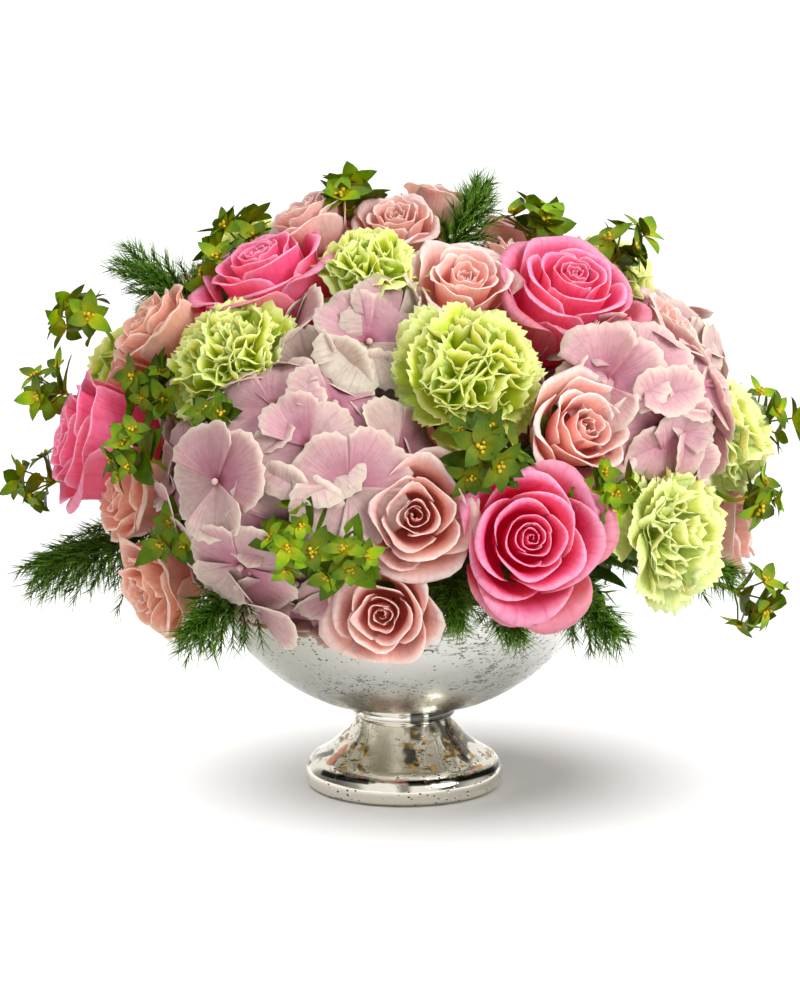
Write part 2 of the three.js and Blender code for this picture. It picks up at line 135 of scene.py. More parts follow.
# %% Nodes by short calls
class Nodes:
    """The node tree of a material or a world, whose nodes are made and linked by short calls."""

    def __init__(self, owner):
        owner.use_nodes = True
        self.nodes, self.links = owner.node_tree.nodes, owner.node_tree.links

    def put(self, socket, value):
        if isinstance(value, bpy.types.NodeSocket):
            self.links.new(value, socket)
        else:
            socket.default_value = value

    def fill(self, inputs):
        """Values and links for the surface shader of a material."""
        for name, value in inputs.items():
            self.put(self.nodes["Principled BSDF"].inputs[name], value)

    def node(self, kind, output, inputs, **settings):
        made = self.nodes.new("ShaderNode" + kind)
        for name, value in settings.items():
            setattr(made, name, value)
        for name, value in inputs.items():
            self.put(made.inputs[name], value)
        return made.outputs[output]

    def mark(self, which):
        return self.node("Attribute", "Fac", {}, attribute_name=which)

    def place(self):
        return self.node("TexCoord", "Object", {})

    def math(self, kind, first, second):
        return self.node("Math", 0, {0: first, 1: second}, operation=kind)

    def times(self, *factors):
        product = factors[0]
        for factor in factors[1:]:
            product = self.math("MULTIPLY", product, factor)
        return product

    def band(self, value, low, high, out_low=0.0, out_high=1.0, curve="SMOOTHSTEP"):
        """How far a value has come from low to high, as a number from out_low to out_high."""
        inputs = {"Value": value, "From Min": low, "From Max": high, "To Min": out_low, "To Max": out_high}
        return self.node("MapRange", "Result", inputs, interpolation_type=curve)

    def mixed(self, factor, first, second, blend="MIX"):
        inputs = {0: factor, 6: first, 7: second}
        return self.node("Mix", 2, inputs, data_type="RGBA", blend_type=blend)

    def noise(self, vector, scale, detail=2.0, distortion=0.0):
        inputs = {"Vector": vector, "Scale": scale, "Detail": detail, "Distortion": distortion}
        return self.node("TexNoise", "Fac", inputs)

    def ramp(self, value, stops, interpolation="LINEAR"):
        """A colour ramp from (place, linear colour) pairs."""
        made = self.nodes.new("ShaderNodeValToRGB")
        self.links.new(value, made.inputs["Fac"])
        elements = made.color_ramp.elements
        made.color_ramp.interpolation = interpolation
        while len(elements) < len(stops):
            elements.new(0.5)
        for element, (place, colour) in zip(elements, stops):
            element.position = place
            element.color = colour
        return made.outputs["Color"]

    def bump(self, height, strength, distance):
        return self.node("Bump", "Normal", {"Height": height, "Strength": strength, "Distance": distance})


print("node tools", [name for name in vars(Nodes) if not name.startswith("_")])

# %% [markdown]
# ## Floor, room and lights
# The floor is plain and pale. Lamps alone could light the scene, but a silvered bowl shows
# whatever stands round it. So its reflections see white screens with dark gaps, the petals
# get even light from all sides, and the camera sees a white wall. Light from over the
# shoulder gives the petals their form. The floor has a lamp of its own, because the long
# shadow of all the flowers would hide how the foot stands.

# %% Floor and world
deselect_all()
bpy.ops.mesh.primitive_plane_add(size=60.0, location=(0.0, 0.0, 0.0))
floor = bpy.context.object
floor.name = "floor"
floor_material = bpy.data.materials.new("pale_floor")
Nodes(floor_material).fill(
    {"Base Color": (0.80, 0.80, 0.80, 1.0), "Roughness": 0.9, "Specular IOR Level": 0.1})
paint(floor, floor_material)

ROOM_LIGHT, WALL_LIGHT = 0.86, 1.1
WHITE = (1.0, 1.0, 1.0, 1.0)
# what the silver mirrors from left to right: white screens with dark gaps between them
SCREENS = [
    (0.0, 0.10), (0.10, 0.35), (0.16, 0.95), (0.42, 1.0), (0.47, 0.30), (0.53, 0.25),
    (0.58, 1.0), (0.80, 0.9), (0.86, 0.12), (0.93, 0.10), (1.0, 0.6)]

world = bpy.data.worlds.new("studio")
sky = Nodes(world)
sideways = sky.node("SeparateXYZ", "X", {"Vector": sky.node("TexCoord", "Generated", {})})
sideways = sky.band(sideways, -1.0, 1.0, curve="LINEAR")
mirrored = sky.ramp(sideways, [(place, (level, level, level * 0.97, 1.0)) for place, level in SCREENS])
screens = sky.node("Background", 0, {"Color": mirrored})
# the room is a little darker on the left
white = sky.nodes["Background"]
sky.put(white.inputs["Color"], sky.ramp(sideways, [(0.0, (0.55, 0.55, 0.55, 1.0)), (1.0, WHITE)]))
sky.put(white.inputs["Strength"], ROOM_LIGHT)
# and the wall behind the object is as white as the floor
wall = sky.node("Background", 0, {"Color": WHITE, "Strength": WALL_LIGHT})


def for_rays(kind, others, these):
    """One background for rays of a kind and another for all other rays."""
    return sky.node("MixShader", 0, {0: sky.node("LightPath", kind, {}), 1: others, 2: these})


lit_room = for_rays("Is Glossy Ray", white.outputs[0], screens)
sky.put(sky.nodes["World Output"].inputs["Surface"], for_rays("Is Camera Ray", lit_room, wall))
bpy.context.scene.world = world
print("floor and world")


# %% Lights
def soft_sun(name, towards, spread, strength):
    light = bpy.data.lights.new(name, "SUN")
    light.angle = math.radians(spread)
    light.energy = strength
    lamp = bpy.data.objects.new(name, light)
    bpy.context.scene.collection.objects.link(lamp)
    lamp.rotation_euler = Vector(towards).to_track_quat("-Z", "Y").to_euler()
    return lamp


# a wide soft source overhead and a weaker one over the right shoulder, for all but the floor
overhead = soft_sun("top_light", (0.08, 0.05, -1.0), 50, 1.35)
key = soft_sun("key_light", (-0.75, 0.6, -0.55), 30, 2.5)
# the floor has a lamp of its own, in which only the bowl casts a shadow, so that it stays compact
floor_lamp = soft_sun("floor_light", (0.27, 0.14, -1.0), 56, 3.3)
only_floor = bpy.data.collections.new("only_floor")
only_floor.objects.link(floor)
floor_lamp.light_linking.receiver_collection = only_floor
not_floor = bpy.data.collections.new("not_floor")
not_floor.objects.link(floor)
not_floor.collection_objects[0].light_linking.link_state = "EXCLUDE"
overhead.light_linking.receiver_collection = not_floor
key.light_linking.receiver_collection = not_floor
bpy.context.scene.view_settings.view_transform = "Standard"
print("three lights")

# %% [markdown]
# ## The recipe
# A florist writes down what goes where: the stem, the middle of each of its heads in
# millimetres, the way the head faces as turn and rise in degrees, and how wide it is. The
# frame only gives whole solids, so the places are written down here again. They are those
# of the solid model, but for six heads moved by up to 8 mm or turned by up to 12 degrees.

# %% Where every head sits
ROSES = {
    "pink_rose_top_left": [((-66, -28, 260), (-150, 64), 77)],
    "pink_rose_top_right": [((79, -42, 254), (-62, 56), 74)],
    "pink_rose_front": [((57, -134, 152), (-82, 14), 75)],
    "pink_rose_left": [((-152, -38, 182), (-170, 15), 76)],
    "pink_rose_back_left": [((-38, 126, 186), (106, 24), 76)],
    "pink_rose_back_right": [((84, 114, 172), (54, 16), 76)],
    "pink_rose_back_top": [((6, 92, 244), (86, 48), 78)],
}
SPRAY_ROSES = {
    "spray_rose_front": [((5, -142, 165), (-88, 12), 52), ((-10, -142, 118), (-97, 4), 46)],
    "spray_rose_upper_front": [((29, -50, 261), (-75, 55), 50), ((60, 6, 264), (10, 66), 42)],
    "spray_rose_crown_left": [
        ((-4, -8, 286), (-95, 62), 38), ((-49, 4, 286), (-172, 60), 42), ((-25, 34, 288), (105, 76), 24)],
    "spray_rose_crown_right": [
        ((17, 32, 291), (50, 62), 34), ((-26, 66, 278), (110, 58), 42), ((58, 56, 268), (48, 56), 42)],
    "spray_rose_upper_left": [((-122, -38, 239), (-168, 42), 44), ((-140, -14, 212), (178, 20), 26)],
    "spray_rose_mid_right": [((84, -104, 199), (-58, 24), 52)],
    "spray_rose_upper_right": [((132, -15, 232), (-8, 36), 44), ((118, 52, 214), (28, 34), 46)],
    "spray_rose_lower_left": [((-134, -66, 162), (-160, 6), 46), ((-121, -88, 120), (-150, -16), 46)],
    "spray_rose_lower_right": [((164, -8, 136), (-4, 4), 46), ((144, 62, 132), (24, 2), 46)],
    "spray_rose_back_left": [((-142, 46, 158), (162, 10), 48), ((-112, 94, 120), (140, -8), 46)],
    "spray_rose_back": [((6, 148, 142), (88, 8), 52), ((56, 140, 124), (68, -8), 48)],
}
CARNATIONS = {
    "carnation_left": [((-82, -72, 225), (-128, 42), 71)],
    "carnation_middle": [((30, -90, 222), (-78, 40), 80)],
    "carnation_top": [((-17, -39, 264), (-103, 74), 60)],
    "carnation_lower_right": [((125, -88, 146), (-38, 8), 72)],
    "carnation_right": [((157, -20, 183), (-12, 16), 64)],
    "carnation_back_right": [((104, 44, 250), (22, 48), 58)],
    "carnation_upper_left": [((-136, 34, 206), (168, 30), 60)],
    "carnation_back_low": [((-54, 132, 132), (112, 6), 70)],
    "carnation_back_mid": [((34, 128, 192), (76, 26), 74)],
    "carnation_back_top": [((-72, 50, 256), (142, 52), 66)],
}
HYDRANGEAS = {
    "hydrangea_front": [((-50, -90, 164), (-116, 18), 130)],
    "hydrangea_right": [((104, -52, 196), (-30, 34), 96)],
    "hydrangea_top": [((-24, -52, 222), (-104, 60), 84)],
    "hydrangea_back_left": [((-88, 74, 194), (140, 28), 118)],
    "hydrangea_back_right": [((108, 50, 188), (24, 26), 118)],
}
BUPLEURUMS = {
    "bupleurum_crown": [((-26, 12, 299), (60, 62), 26)],
    "bupleurum_top_left": [((-84, 18, 278), (165, 58), 26), ((-94, -6, 262), (-170, 40), 20)],
    "bupleurum_upper_left": [((-162, 4, 240), (178, 36), 26), ((-178, -12, 206), (-176, 20), 24)],
    "bupleurum_far_left": [((-185, -16, 160), (-176, 8), 26)],
    "bupleurum_mid_left": [((-124, -64, 214), (-150, 34), 26), ((-92, -106, 204), (-128, 24), 18)],
    "bupleurum_low_left": [((-132, -96, 186), (-146, 20), 26), ((-112, -116, 150), (-134, 8), 20)],
    "bupleurum_front": [((-52, -160, 158), (-106, 12), 30), ((-28, -160, 146), (-96, 0), 24)],
    "bupleurum_middle": [((38, -140, 194), (-76, 26), 30)],
    "bupleurum_mid_right": [((98, -124, 174), (-50, 16), 28)],
    "bupleurum_top_right": [((68, 22, 284), (20, 64), 26), ((112, 12, 274), (6, 50), 26)],
    "bupleurum_far_right": [((185, -6, 190), (-2, 22), 26), ((176, -40, 156), (-12, 10), 20)],
    "bupleurum_drooping": [((176, -18, 98), (-5, -24), 26)],
    "bupleurum_back_left": [((-76, 132, 222), (120, 30), 26), ((-120, 118, 186), (136, 18), 24)],
    "bupleurum_back_right": [((86, 124, 224), (56, 28), 26), ((138, 98, 178), (36, 16), 24)],
}
FERNS = {
    "fern_top_left": [((-122, 8, 256), (176, 36), 72)],
    "fern_crown": [((34, 20, 292), (30, 62), 56)],
    "fern_left": [((-160, -22, 124), (-170, -14), 70)],
    "fern_low_left": [((-94, -124, 112), (-128, -20), 64)],
    "fern_front": [((24, -142, 112), (-84, -38), 50)],
    "fern_front_right": [((54, -140, 106), (-66, -34), 54)],
    "fern_low_right": [((98, -126, 108), (-52, -20), 66)],
    "fern_right": [((158, -46, 120), (-18, -10), 62)],
    "fern_back_left": [((-92, 132, 118), (126, -14), 66)],
    "fern_back_right": [((106, 124, 116), (50, -14), 66)],
}
print("heads", sum(len(h) for kind in (ROSES, SPRAY_ROSES, CARNATIONS, HYDRANGEAS) for h in kind.values()))

# %% [markdown]
# ## Petals are bent from flat blanks
# One petal could be shaped by hand, corner by corner, but there are well over a thousand
# here and no two are alike. So every petal starts as a flat grid, a blank. Its corners give
# two numbers: across, from -1 at one side to 1 at the other, and along, from 0 at the base to
# 1 at the lip. A rule for each flower bends the blank to its place. Both numbers stay on the
# mesh as attributes, and the petal materials read them, so a vein or a pale lip follows the
# petal wherever it curls.

# %% Cut a blank
BLANKS = {}


def blank(columns, rows):
    """A flat grid with its across, its along and its faces, cut once for each size."""
    if (columns, rows) not in BLANKS:
        deselect_all()
        bpy.ops.mesh.primitive_grid_add(x_subdivisions=columns, y_subdivisions=rows, size=2.0)
        sheet = bpy.context.object
        corners = np.array([v.co[:] for v in sheet.data.vertices])
        faces = np.array([p.vertices[:] for p in sheet.data.polygons])
        BLANKS[columns, rows] = (corners[:, 0], (corners[:, 1] + 1) / 2, faces)
        bpy.data.objects.remove(sheet)
    return BLANKS[columns, rows]


def ragged(across, columns, rng):
    """A random number for every column of a blank, for torn and toothed edges."""
    steps = np.array([rng.random() for column in range(columns + 1)])
    return steps[np.rint((across + 1) / 2 * columns).astype(int)]


def unit(vector):
    return vector / np.linalg.norm(vector)


def units(rows):
    return rows / np.linalg.norm(rows, axis=1)[:, None]


def facing(face):
    """The direction of a turn and a rise in degrees."""
    turn, rise = math.radians(face[0]), math.radians(face[1])
    return np.array([math.cos(rise) * math.cos(turn), math.cos(rise) * math.sin(turn), math.sin(rise)])


def axes_of(face, roll=0.0):
    """Three directions for a head: two across it and the one that it faces, as columns."""
    out = facing(face)
    side = unit(np.cross((0.0, 0.0, 1.0), out))
    up = np.cross(out, side)
    c, s = math.cos(roll), math.sin(roll)
    return np.stack([c * side + s * up, c * up - s * side, out], axis=1)


def face_of(out):
    """The turn and rise in degrees of a direction."""
    return math.degrees(math.atan2(out[1], out[0])), math.degrees(math.asin(np.clip(out[2], -0.99, 0.99)))


def around(angle, out, high):
    """A point, or with arrays a row of points, round the axis of a head."""
    return np.stack([out * np.cos(angle), out * np.sin(angle), high], axis=-1)


def placed(local, axes, head):
    """Points in parts of a head's size, taken to its place."""
    place, face, size = head
    return (local * size) @ axes.T + np.array(place)


print("a head that faces the front", axes_of((-90, 0)).round(2).tolist())


# %% A mesh from many sheets
class Bunch:
    """Collects bent sheets and solids that become one mesh."""

    def __init__(self):
        self.points, self.faces, self.marks, self.count = [], [], [], 0

    def add(self, points, faces, along, across=0.0, depth=0.5, tint=0.5):
        """Faces are an array, or a list where some have three corners and some have four."""
        if isinstance(faces, list):
            self.faces.extend([[i + self.count for i in face] for face in faces])
        else:
            self.faces.extend((faces + self.count).tolist())
        ones = np.ones(len(points))
        self.points.append(points)
        self.marks.append(np.stack([along * ones, across * ones, depth * ones, tint * ones], axis=1))
        self.count += len(points)

    def piece(self, name, material, thickness=0.0):
        mesh = bpy.data.meshes.new(name)
        mesh.from_pydata((np.concatenate(self.points) * MM).tolist(), [], self.faces)
        marks = np.concatenate(self.marks)
        for i, mark in enumerate(("along", "across", "depth", "tint")):
            layer = mesh.attributes.new(mark, "FLOAT", "POINT")
            layer.data.foreach_set("value", marks[:, i].astype(np.float32))
        mesh.polygons.foreach_set("use_smooth", [True] * len(mesh.polygons))
        made = bpy.data.objects.new(name, mesh)
        bpy.context.scene.collection.objects.link(made)
        if thickness:
            apply_modifier(made, "SOLIDIFY", thickness=thickness * MM, offset=0.0)
        paint(made, material)
        return made


def grow(node, piece):
    """The piece rides with the object and stands for its solid."""
    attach(piece, "root")
    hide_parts(node)


def smooth(x):
    x = np.clip(x, 0.0, 1.0)
    return x * x * (3 - 2 * x)


print("half way, smoothed", smooth(0.5))

# %% [markdown]
# ## Petal material
# A petal is thin and lets light through, is deeper in colour at its base and pale at its lip,
# and has fine veins along it. A painted picture could be laid on it, but it would stretch where
# the petal curls. So a colour ramp on along gives the shade, and streaks of noise that are long
# in along and narrow in across give the veins. A little subsurface light softens it. The petals
# of roses and carnations also glow faintly in their own colour: painted light that brightens
# their shaded hearts.


# %% Petal material
def petal_material(name, shades, outer, vein, roughness=0.55, glow=0.25, pale_edge=None, spread=(0.86, 1.06),
                   gloss=0.35, painted_glow=None):
    """shades: (along, colour) pairs; outer: colour of the outermost petals; vein: streak colour;
    and the painted glow: colour and strength of a light that the petals emit, in place of the light
    that comes through the petals into the heart."""
    material = bpy.data.materials.new(name)
    made = Nodes(material)
    along, tint = made.mark("along"), made.mark("tint")
    colour = made.ramp(along, [(place, linear(*shade)) for place, shade in shades], "EASE")
    outermost = made.band(made.mark("depth"), 0.62, 1.0, 0.0, 0.85, "LINEAR")
    colour = made.mixed(outermost, colour, linear(*outer))
    # the number of a petal, its tint, shifts the streaks, so that no two petals have the same veins
    streaks = made.node("CombineXYZ", 0, {
        0: made.times(made.mark("across"), 16.0), 1: made.times(along, 2.2), 2: made.times(tint, 60.0)})
    veins = made.noise(streaks, 1.0, 3.0)
    colour = made.mixed(made.band(veins, 0.5, 0.72, 0.0, 0.45, "LINEAR"), colour, linear(*vein))
    mottle = made.noise(made.place(), 300.0, 4.0)
    colour = made.mixed(1.0, colour, made.band(mottle, 0.35, 0.65, 0.91, 1.04, "LINEAR"), "MULTIPLY")
    colour = made.mixed(1.0, colour, made.band(tint, 0.0, 1.0, *spread, "LINEAR"), "MULTIPLY")
    if pale_edge:
        colour = made.mixed(made.band(along, 0.88, 1.0, 0.0, 0.5, "LINEAR"), colour, linear(*pale_edge))
    made.fill({
        "Base Color": colour, "Roughness": roughness, "Specular IOR Level": gloss,
        "Normal": made.bump(made.math("ADD", veins, mottle), 0.4, 0.0006),
        "Subsurface Weight": glow, "Subsurface Radius": (1.0, 0.55, 0.45), "Subsurface Scale": 0.004})
    # painted glow: the petals emit a little light of their own colour, which brightens the shaded heart
    if painted_glow:
        made.fill({"Emission Color": linear(*painted_glow[0]), "Emission Strength": painted_glow[1]})
    return material


PINK = petal_material(
    "pink_rose_petal",
    [(0.0, (240, 10, 62)), (0.4, (246, 38, 98)), (0.72, (240, 84, 134)), (1.0, (240, 152, 184))],
    outer=(206, 118, 132), vein=(214, 52, 96), glow=0.6, painted_glow=((240, 20, 70), 0.07))
BLUSH = petal_material(
    "spray_rose_petal",
    [(0.0, (222, 50, 40)), (0.36, (246, 122, 106)), (0.68, (251, 180, 170)), (1.0, (253, 214, 204))],
    outer=(251, 194, 184), vein=(238, 152, 144), glow=0.6, spread=(0.74, 1.06), painted_glow=((236, 120, 100), 0.03))
PEACH = petal_material(
    "peach_spray_rose_petal",
    [(0.0, (200, 60, 34)), (0.36, (236, 122, 96)), (0.68, (244, 164, 144)), (1.0, (247, 198, 178))],
    outer=(240, 174, 154), vein=(228, 140, 116), glow=0.6, spread=(0.76, 1.06), painted_glow=((230, 110, 70), 0.03))
LIME = petal_material(
    "carnation_petal",
    [(0.0, (108, 138, 0)), (0.5, (152, 178, 10)), (0.8, (188, 202, 44)), (1.0, (212, 219, 92))],
    outer=(226, 230, 148), vein=(154, 176, 22), pale_edge=(240, 243, 176), glow=0.5, spread=(0.78, 1.06),
    painted_glow=((160, 196, 10), 0.045))
HYDRANGEA = petal_material(
    "hydrangea_sepal",
    [(0.0, (176, 84, 108)), (0.25, (196, 122, 142)), (0.7, (209, 156, 162)), (1.0, (217, 182, 172))],
    outer=(226, 212, 188), vein=(174, 104, 124), pale_edge=(231, 217, 196), spread=(0.70, 1.06))
print("five petal materials")

# %% [markdown]
# ## The bowl
# The bowl is blown glass, silvered inside. A profile could be spun round, but that leaves a
# seam to weld. Here a ring is drawn out again and again, as on a lathe: up the foot, round the
# collar, up the outside of the bowl and down its inside.

# %% Draw the bowl from a ring
BOWL_RADIUS, BOWL_CENTRE, WALL, RIM = 108.0, 145.4, 3.0, 113.0


def bowl_radius(height, wall=0.0):
    return math.sqrt((BOWL_RADIUS - wall) ** 2 - (BOWL_CENTRE - height) ** 2)


FOOT_LINE = [
    (45.0, 0.0), (47.6, 0.9), (49.4, 3.0), (50.0, 6.0), (49.7, 9.6), (48.4, 12.6), (46.2, 15.2),
    (43.4, 17.0), (40.6, 18.6), (37.4, 20.8), (34.0, 23.6), (30.6, 26.8), (27.6, 30.2), (25.0, 33.6),
    (23.2, 36.0), (24.4, 36.6), (25.6, 37.8), (26.0, 39.4), (25.6, 41.2), (24.8, 42.2), (26.6, 43.0),
    (31.0, 43.9), (36.0, 44.9)]
outside = [(bowl_radius(z), z) for z in (47, 50, 54, 59, 65, 72, 80, 88, 96, 104, 110)]
lip = [(bowl_radius(RIM) - inward, RIM - down) for inward, down in ((0.2, 0.6), (1.3, 0.0), (2.6, 0.6))]
inside = [(bowl_radius(z, WALL), z) for z in (108, 98, 88, 78, 68, 60, 53, 48, 45)]
inside += [(20.0, 43.2), (0.4, 42.4)]
under = [(0.4, 30.8), (10.0, 30.6), (17.0, 29.4), (23.0, 24.6), (29.0, 17.4), (34.0, 10.0), (38.0, 2.0)]
RING_SIDES, RING_RADIUS = 112, 38.6


def draw_out(line):
    """Extrudes the selected ring along a line of (radius, height) and closes it in the middle."""
    radius, height = RING_RADIUS, 0.0
    for next_radius, next_height in line:
        step = {"value": (0, 0, (next_height - height) * MM)}
        bpy.ops.mesh.extrude_region_move(TRANSFORM_OT_translate=step)
        scale = next_radius / radius
        bpy.ops.transform.resize(value=(scale, scale, 1.0), center_override=(0, 0, next_height * MM))
        radius, height = next_radius, next_height
    bpy.ops.mesh.merge(type="CENTER")


deselect_all()
bpy.ops.mesh.primitive_circle_add(vertices=RING_SIDES, radius=RING_RADIUS * MM, location=(0, 0, 0))
bowl = bpy.context.object
bowl.name = "silvered_bowl"
bpy.ops.object.mode_set(mode="EDIT")
bpy.ops.mesh.select_all(action="SELECT")
draw_out(FOOT_LINE + outside + lip + inside)
bpy.ops.mesh.select_all(action="DESELECT")
bpy.ops.object.mode_set(mode="OBJECT")
# the first ring again, for the hollow under the foot
for corner in bowl.data.vertices:
    if corner.co.z < 1e-6 and Vector(corner.co[:2]).length < 39.0 * MM:
        corner.select = True
bpy.ops.object.mode_set(mode="EDIT")
bpy.ops.mesh.select_mode(type="VERT")
draw_out(reversed(under))
bpy.ops.mesh.select_all(action="SELECT")
bpy.ops.mesh.remove_doubles(threshold=1e-6)
bpy.ops.mesh.normals_make_consistent(inside=False)
bpy.ops.object.mode_set(mode="OBJECT")
bpy.ops.object.shade_smooth_by_angle(angle=math.radians(50))
print("bowl", len(bowl.data.polygons), "faces, size", [round(x, 4) for x in bowl.dimensions])

# %% [markdown]
# ## Silvered glass
# The finish is a mirror seen through glass: bright and a little warm, satin on the bowl and
# sharp on the foot. Clear glass over a mirror could be modelled as it is, but it is slow and
# grainy to render, and a metal with a thin clear coat looks the same from outside. Old
# silvering flakes off, so there are dark specks in clusters, wrinkled hair-fine cracks that
# run round the bowl, and amber patches on the foot. Each comes from a noise of its own size.


# %% Silvered glass
def silvered_glass():
    material = bpy.data.materials.new("silvered_glass")
    made = Nodes(material)
    noise, band, times, mixed, maths = made.noise, made.band, made.times, made.mixed, made.math
    place = made.place()

    def stretched(*scale):
        return made.node("Mapping", "Vector", {"Vector": place, "Scale": scale})

    side = made.node("SeparateXYZ", "X", {"Vector": place})
    height = made.node("SeparateXYZ", "Z", {"Vector": place})
    on_bowl = band(height, 0.042, 0.046)
    on_foot = maths("SUBTRACT", 1.0, on_bowl)

    # specks: small cells, only where a large noise lets them through
    cells = made.node("TexVoronoi", "Distance", {"Vector": stretched(1, 1, 1.7), "Scale": 320.0})
    patches = band(noise(stretched(1, 1, 1.4), 21.0, 3.0), 0.38, 0.50)
    specks = times(band(cells, 0.18, 0.30, 1.0, 0.0), patches, band(noise(place, 130.0), 0.43, 0.50))
    # cracks: where a noise, drawn out round the bowl, crosses its middle value
    wrinkles = maths("SUBTRACT", noise(stretched(1, 1, 3.4), 85.0, 4.0, 0.6), 0.5)
    wrinkles = maths("ABSOLUTE", wrinkles, 0.0)
    # they are more frequent on the right
    crack_patch = maths("ADD", noise(stretched(1, 1, 2.2), 15.0), times(side, 1.4))
    gaps = band(noise(place, 150.0), 0.42, 0.54)
    wrinkles = times(band(wrinkles, 0.007, 0.026, 1.0, 0.0), band(crack_patch, 0.46, 0.55), gaps, on_bowl)
    # amber patches where the silver has gone from the foot
    worn = band(noise(stretched(1, 1, 2.4), 130.0, 5.0, 0.4), 0.52, 0.56)
    worn = times(worn, band(noise(place, 36.0), 0.44, 0.54), on_foot, band(height, 0.012, 0.016))
    # painted reflections: dark streaks that run down the foot; and painted shade in the groove of its rolled
    # edge
    streaks = band(noise(stretched(1, 1, 0.2), 52.0), 0.58, 0.62)
    streaks = times(streaks, on_foot, band(height, 0.013, 0.018))
    groove = times(band(height, 0.0108, 0.0116), band(height, 0.0142, 0.0132))
    groove = times(groove, band(noise(stretched(1, 1, 0.1), 26.0, 1.0), 0.40, 0.43))
    # painted reflection: a dark amber ring round the bottom of the bowl
    painted_reflection_ring = times(on_bowl, band(height, 0.056, 0.047, 0.0, 1.0))
    painted_reflection_ring = times(painted_reflection_ring, band(noise(stretched(1, 1, 4), 60.0, 3.0), 0.35, 0.6))

    silver = mixed(band(noise(place, 14.0), 0.35, 0.7), (0.84, 0.84, 0.81, 1.0), (0.74, 0.74, 0.69, 1.0))
    # painted shade: the silver of the bowl turns dark towards its left side, away from the light
    silver = mixed(band(side, 0.03, -0.10), silver, (0.27, 0.27, 0.20, 1.0))
    silver = mixed(on_bowl, (0.84, 0.80, 0.70, 1.0), silver)
    # the painted dark reflection round the bottom of the bowl
    silver = mixed(times(painted_reflection_ring, 0.75), silver, (0.26, 0.235, 0.14, 1.0))
    collar = times(band(height, 0.0355, 0.0368), band(height, 0.0425, 0.0415))
    silver = mixed(times(collar, 0.5), silver, (0.80, 0.82, 0.80, 1.0))
    # the painted reflections and the painted shade on the foot
    silver = mixed(maths("MAXIMUM", times(streaks, 0.88), groove), silver, (0.03, 0.032, 0.026, 1.0))
    amber = mixed(band(noise(place, 260.0), 0.42, 0.58), (0.46, 0.29, 0.07, 1.0), (0.12, 0.085, 0.03, 1.0))
    colour = mixed(worn, silver, amber)
    colour = mixed(specks, colour, (0.06, 0.055, 0.04, 1.0))
    colour = mixed(wrinkles, colour, (0.12, 0.12, 0.10, 1.0))

    bare = maths("MAXIMUM", maths("MAXIMUM", specks, wrinkles), worn)
    cloud = band(noise(place, 38.0, 3.0), 0.3, 0.7, 0.0, 0.06)
    relief = maths("SUBTRACT", noise(stretched(1, 1, 1.5), 42.0, 1.0), times(bare, 0.25))
    made.fill({
        "Base Color": colour, "Metallic": band(bare, 0.0, 1.0, 1.0, 0.35),
        "Roughness": maths("ADD", band(on_bowl, 0.0, 1.0, 0.06, 0.24), cloud),
        "Coat Weight": 0.2, "Coat Roughness": 0.06, "Normal": made.bump(relief, 0.35, 0.0012)})
    return material


paint(bowl, silvered_glass())
floor_shadow = bpy.data.collections.new("floor_shadow")
floor_shadow.objects.link(bowl)
floor_lamp.light_linking.blocker_collection = floor_shadow
grow("glass_bowl", bowl)

# %% [markdown]
# ## Foam and tape
# Wet foam is dark green and full of fine pores, and the tape that holds it down is smooth.
# The flowers hide almost all of both, so they keep their solids and only get a finish.


# %% Foam and tape finishes
def plain_green(name, dark, light, scale, roughness, depth):
    material = bpy.data.materials.new(name)
    made = Nodes(material)
    pores = made.noise(made.place(), scale, 4.0)
    colour = made.ramp(pores, [(0.35, linear(*dark)), (0.68, linear(*light))])
    made.fill({"Base Color": colour, "Roughness": roughness, "Normal": made.bump(pores, 0.6, depth)})
    return material


FOAM_GREEN = plain_green("floral_foam", (18, 38, 22), (42, 74, 44), 900.0, 0.9, 0.0006)
TAPE_GREEN = plain_green("anchor_tape", (24, 62, 34), (34, 80, 44), 120.0, 0.4, 0.0001)
paint(frame["nodes"]["floral_foam"], FOAM_GREEN)
paint(frame["nodes"]["anchor_tape"], TAPE_GREEN)
print("foam and tape")

# %% [markdown]
# ## Roses
# A rose is a spiral of petals. It could be sculpted as one swirl, but then the deep gaps that
# make it look like a rose are missing. So each petal is a cup-shaped sheet: the inner ones are
# narrow tubes that wrap round the heart, the outer ones are wide bowls whose lips roll back.
# Every outline below
# is the middle of one petal, from its base to its lip, in parts of the bloom's width. A petal
# between two outlines is a blend of them, and each sits a golden angle round from the last.
# An open rose shows tiers: a tight heart, a ring of standing petals, then the guard petals.

# %% Rose petal outlines
GOLDEN_ANGLE = math.radians(137.5)
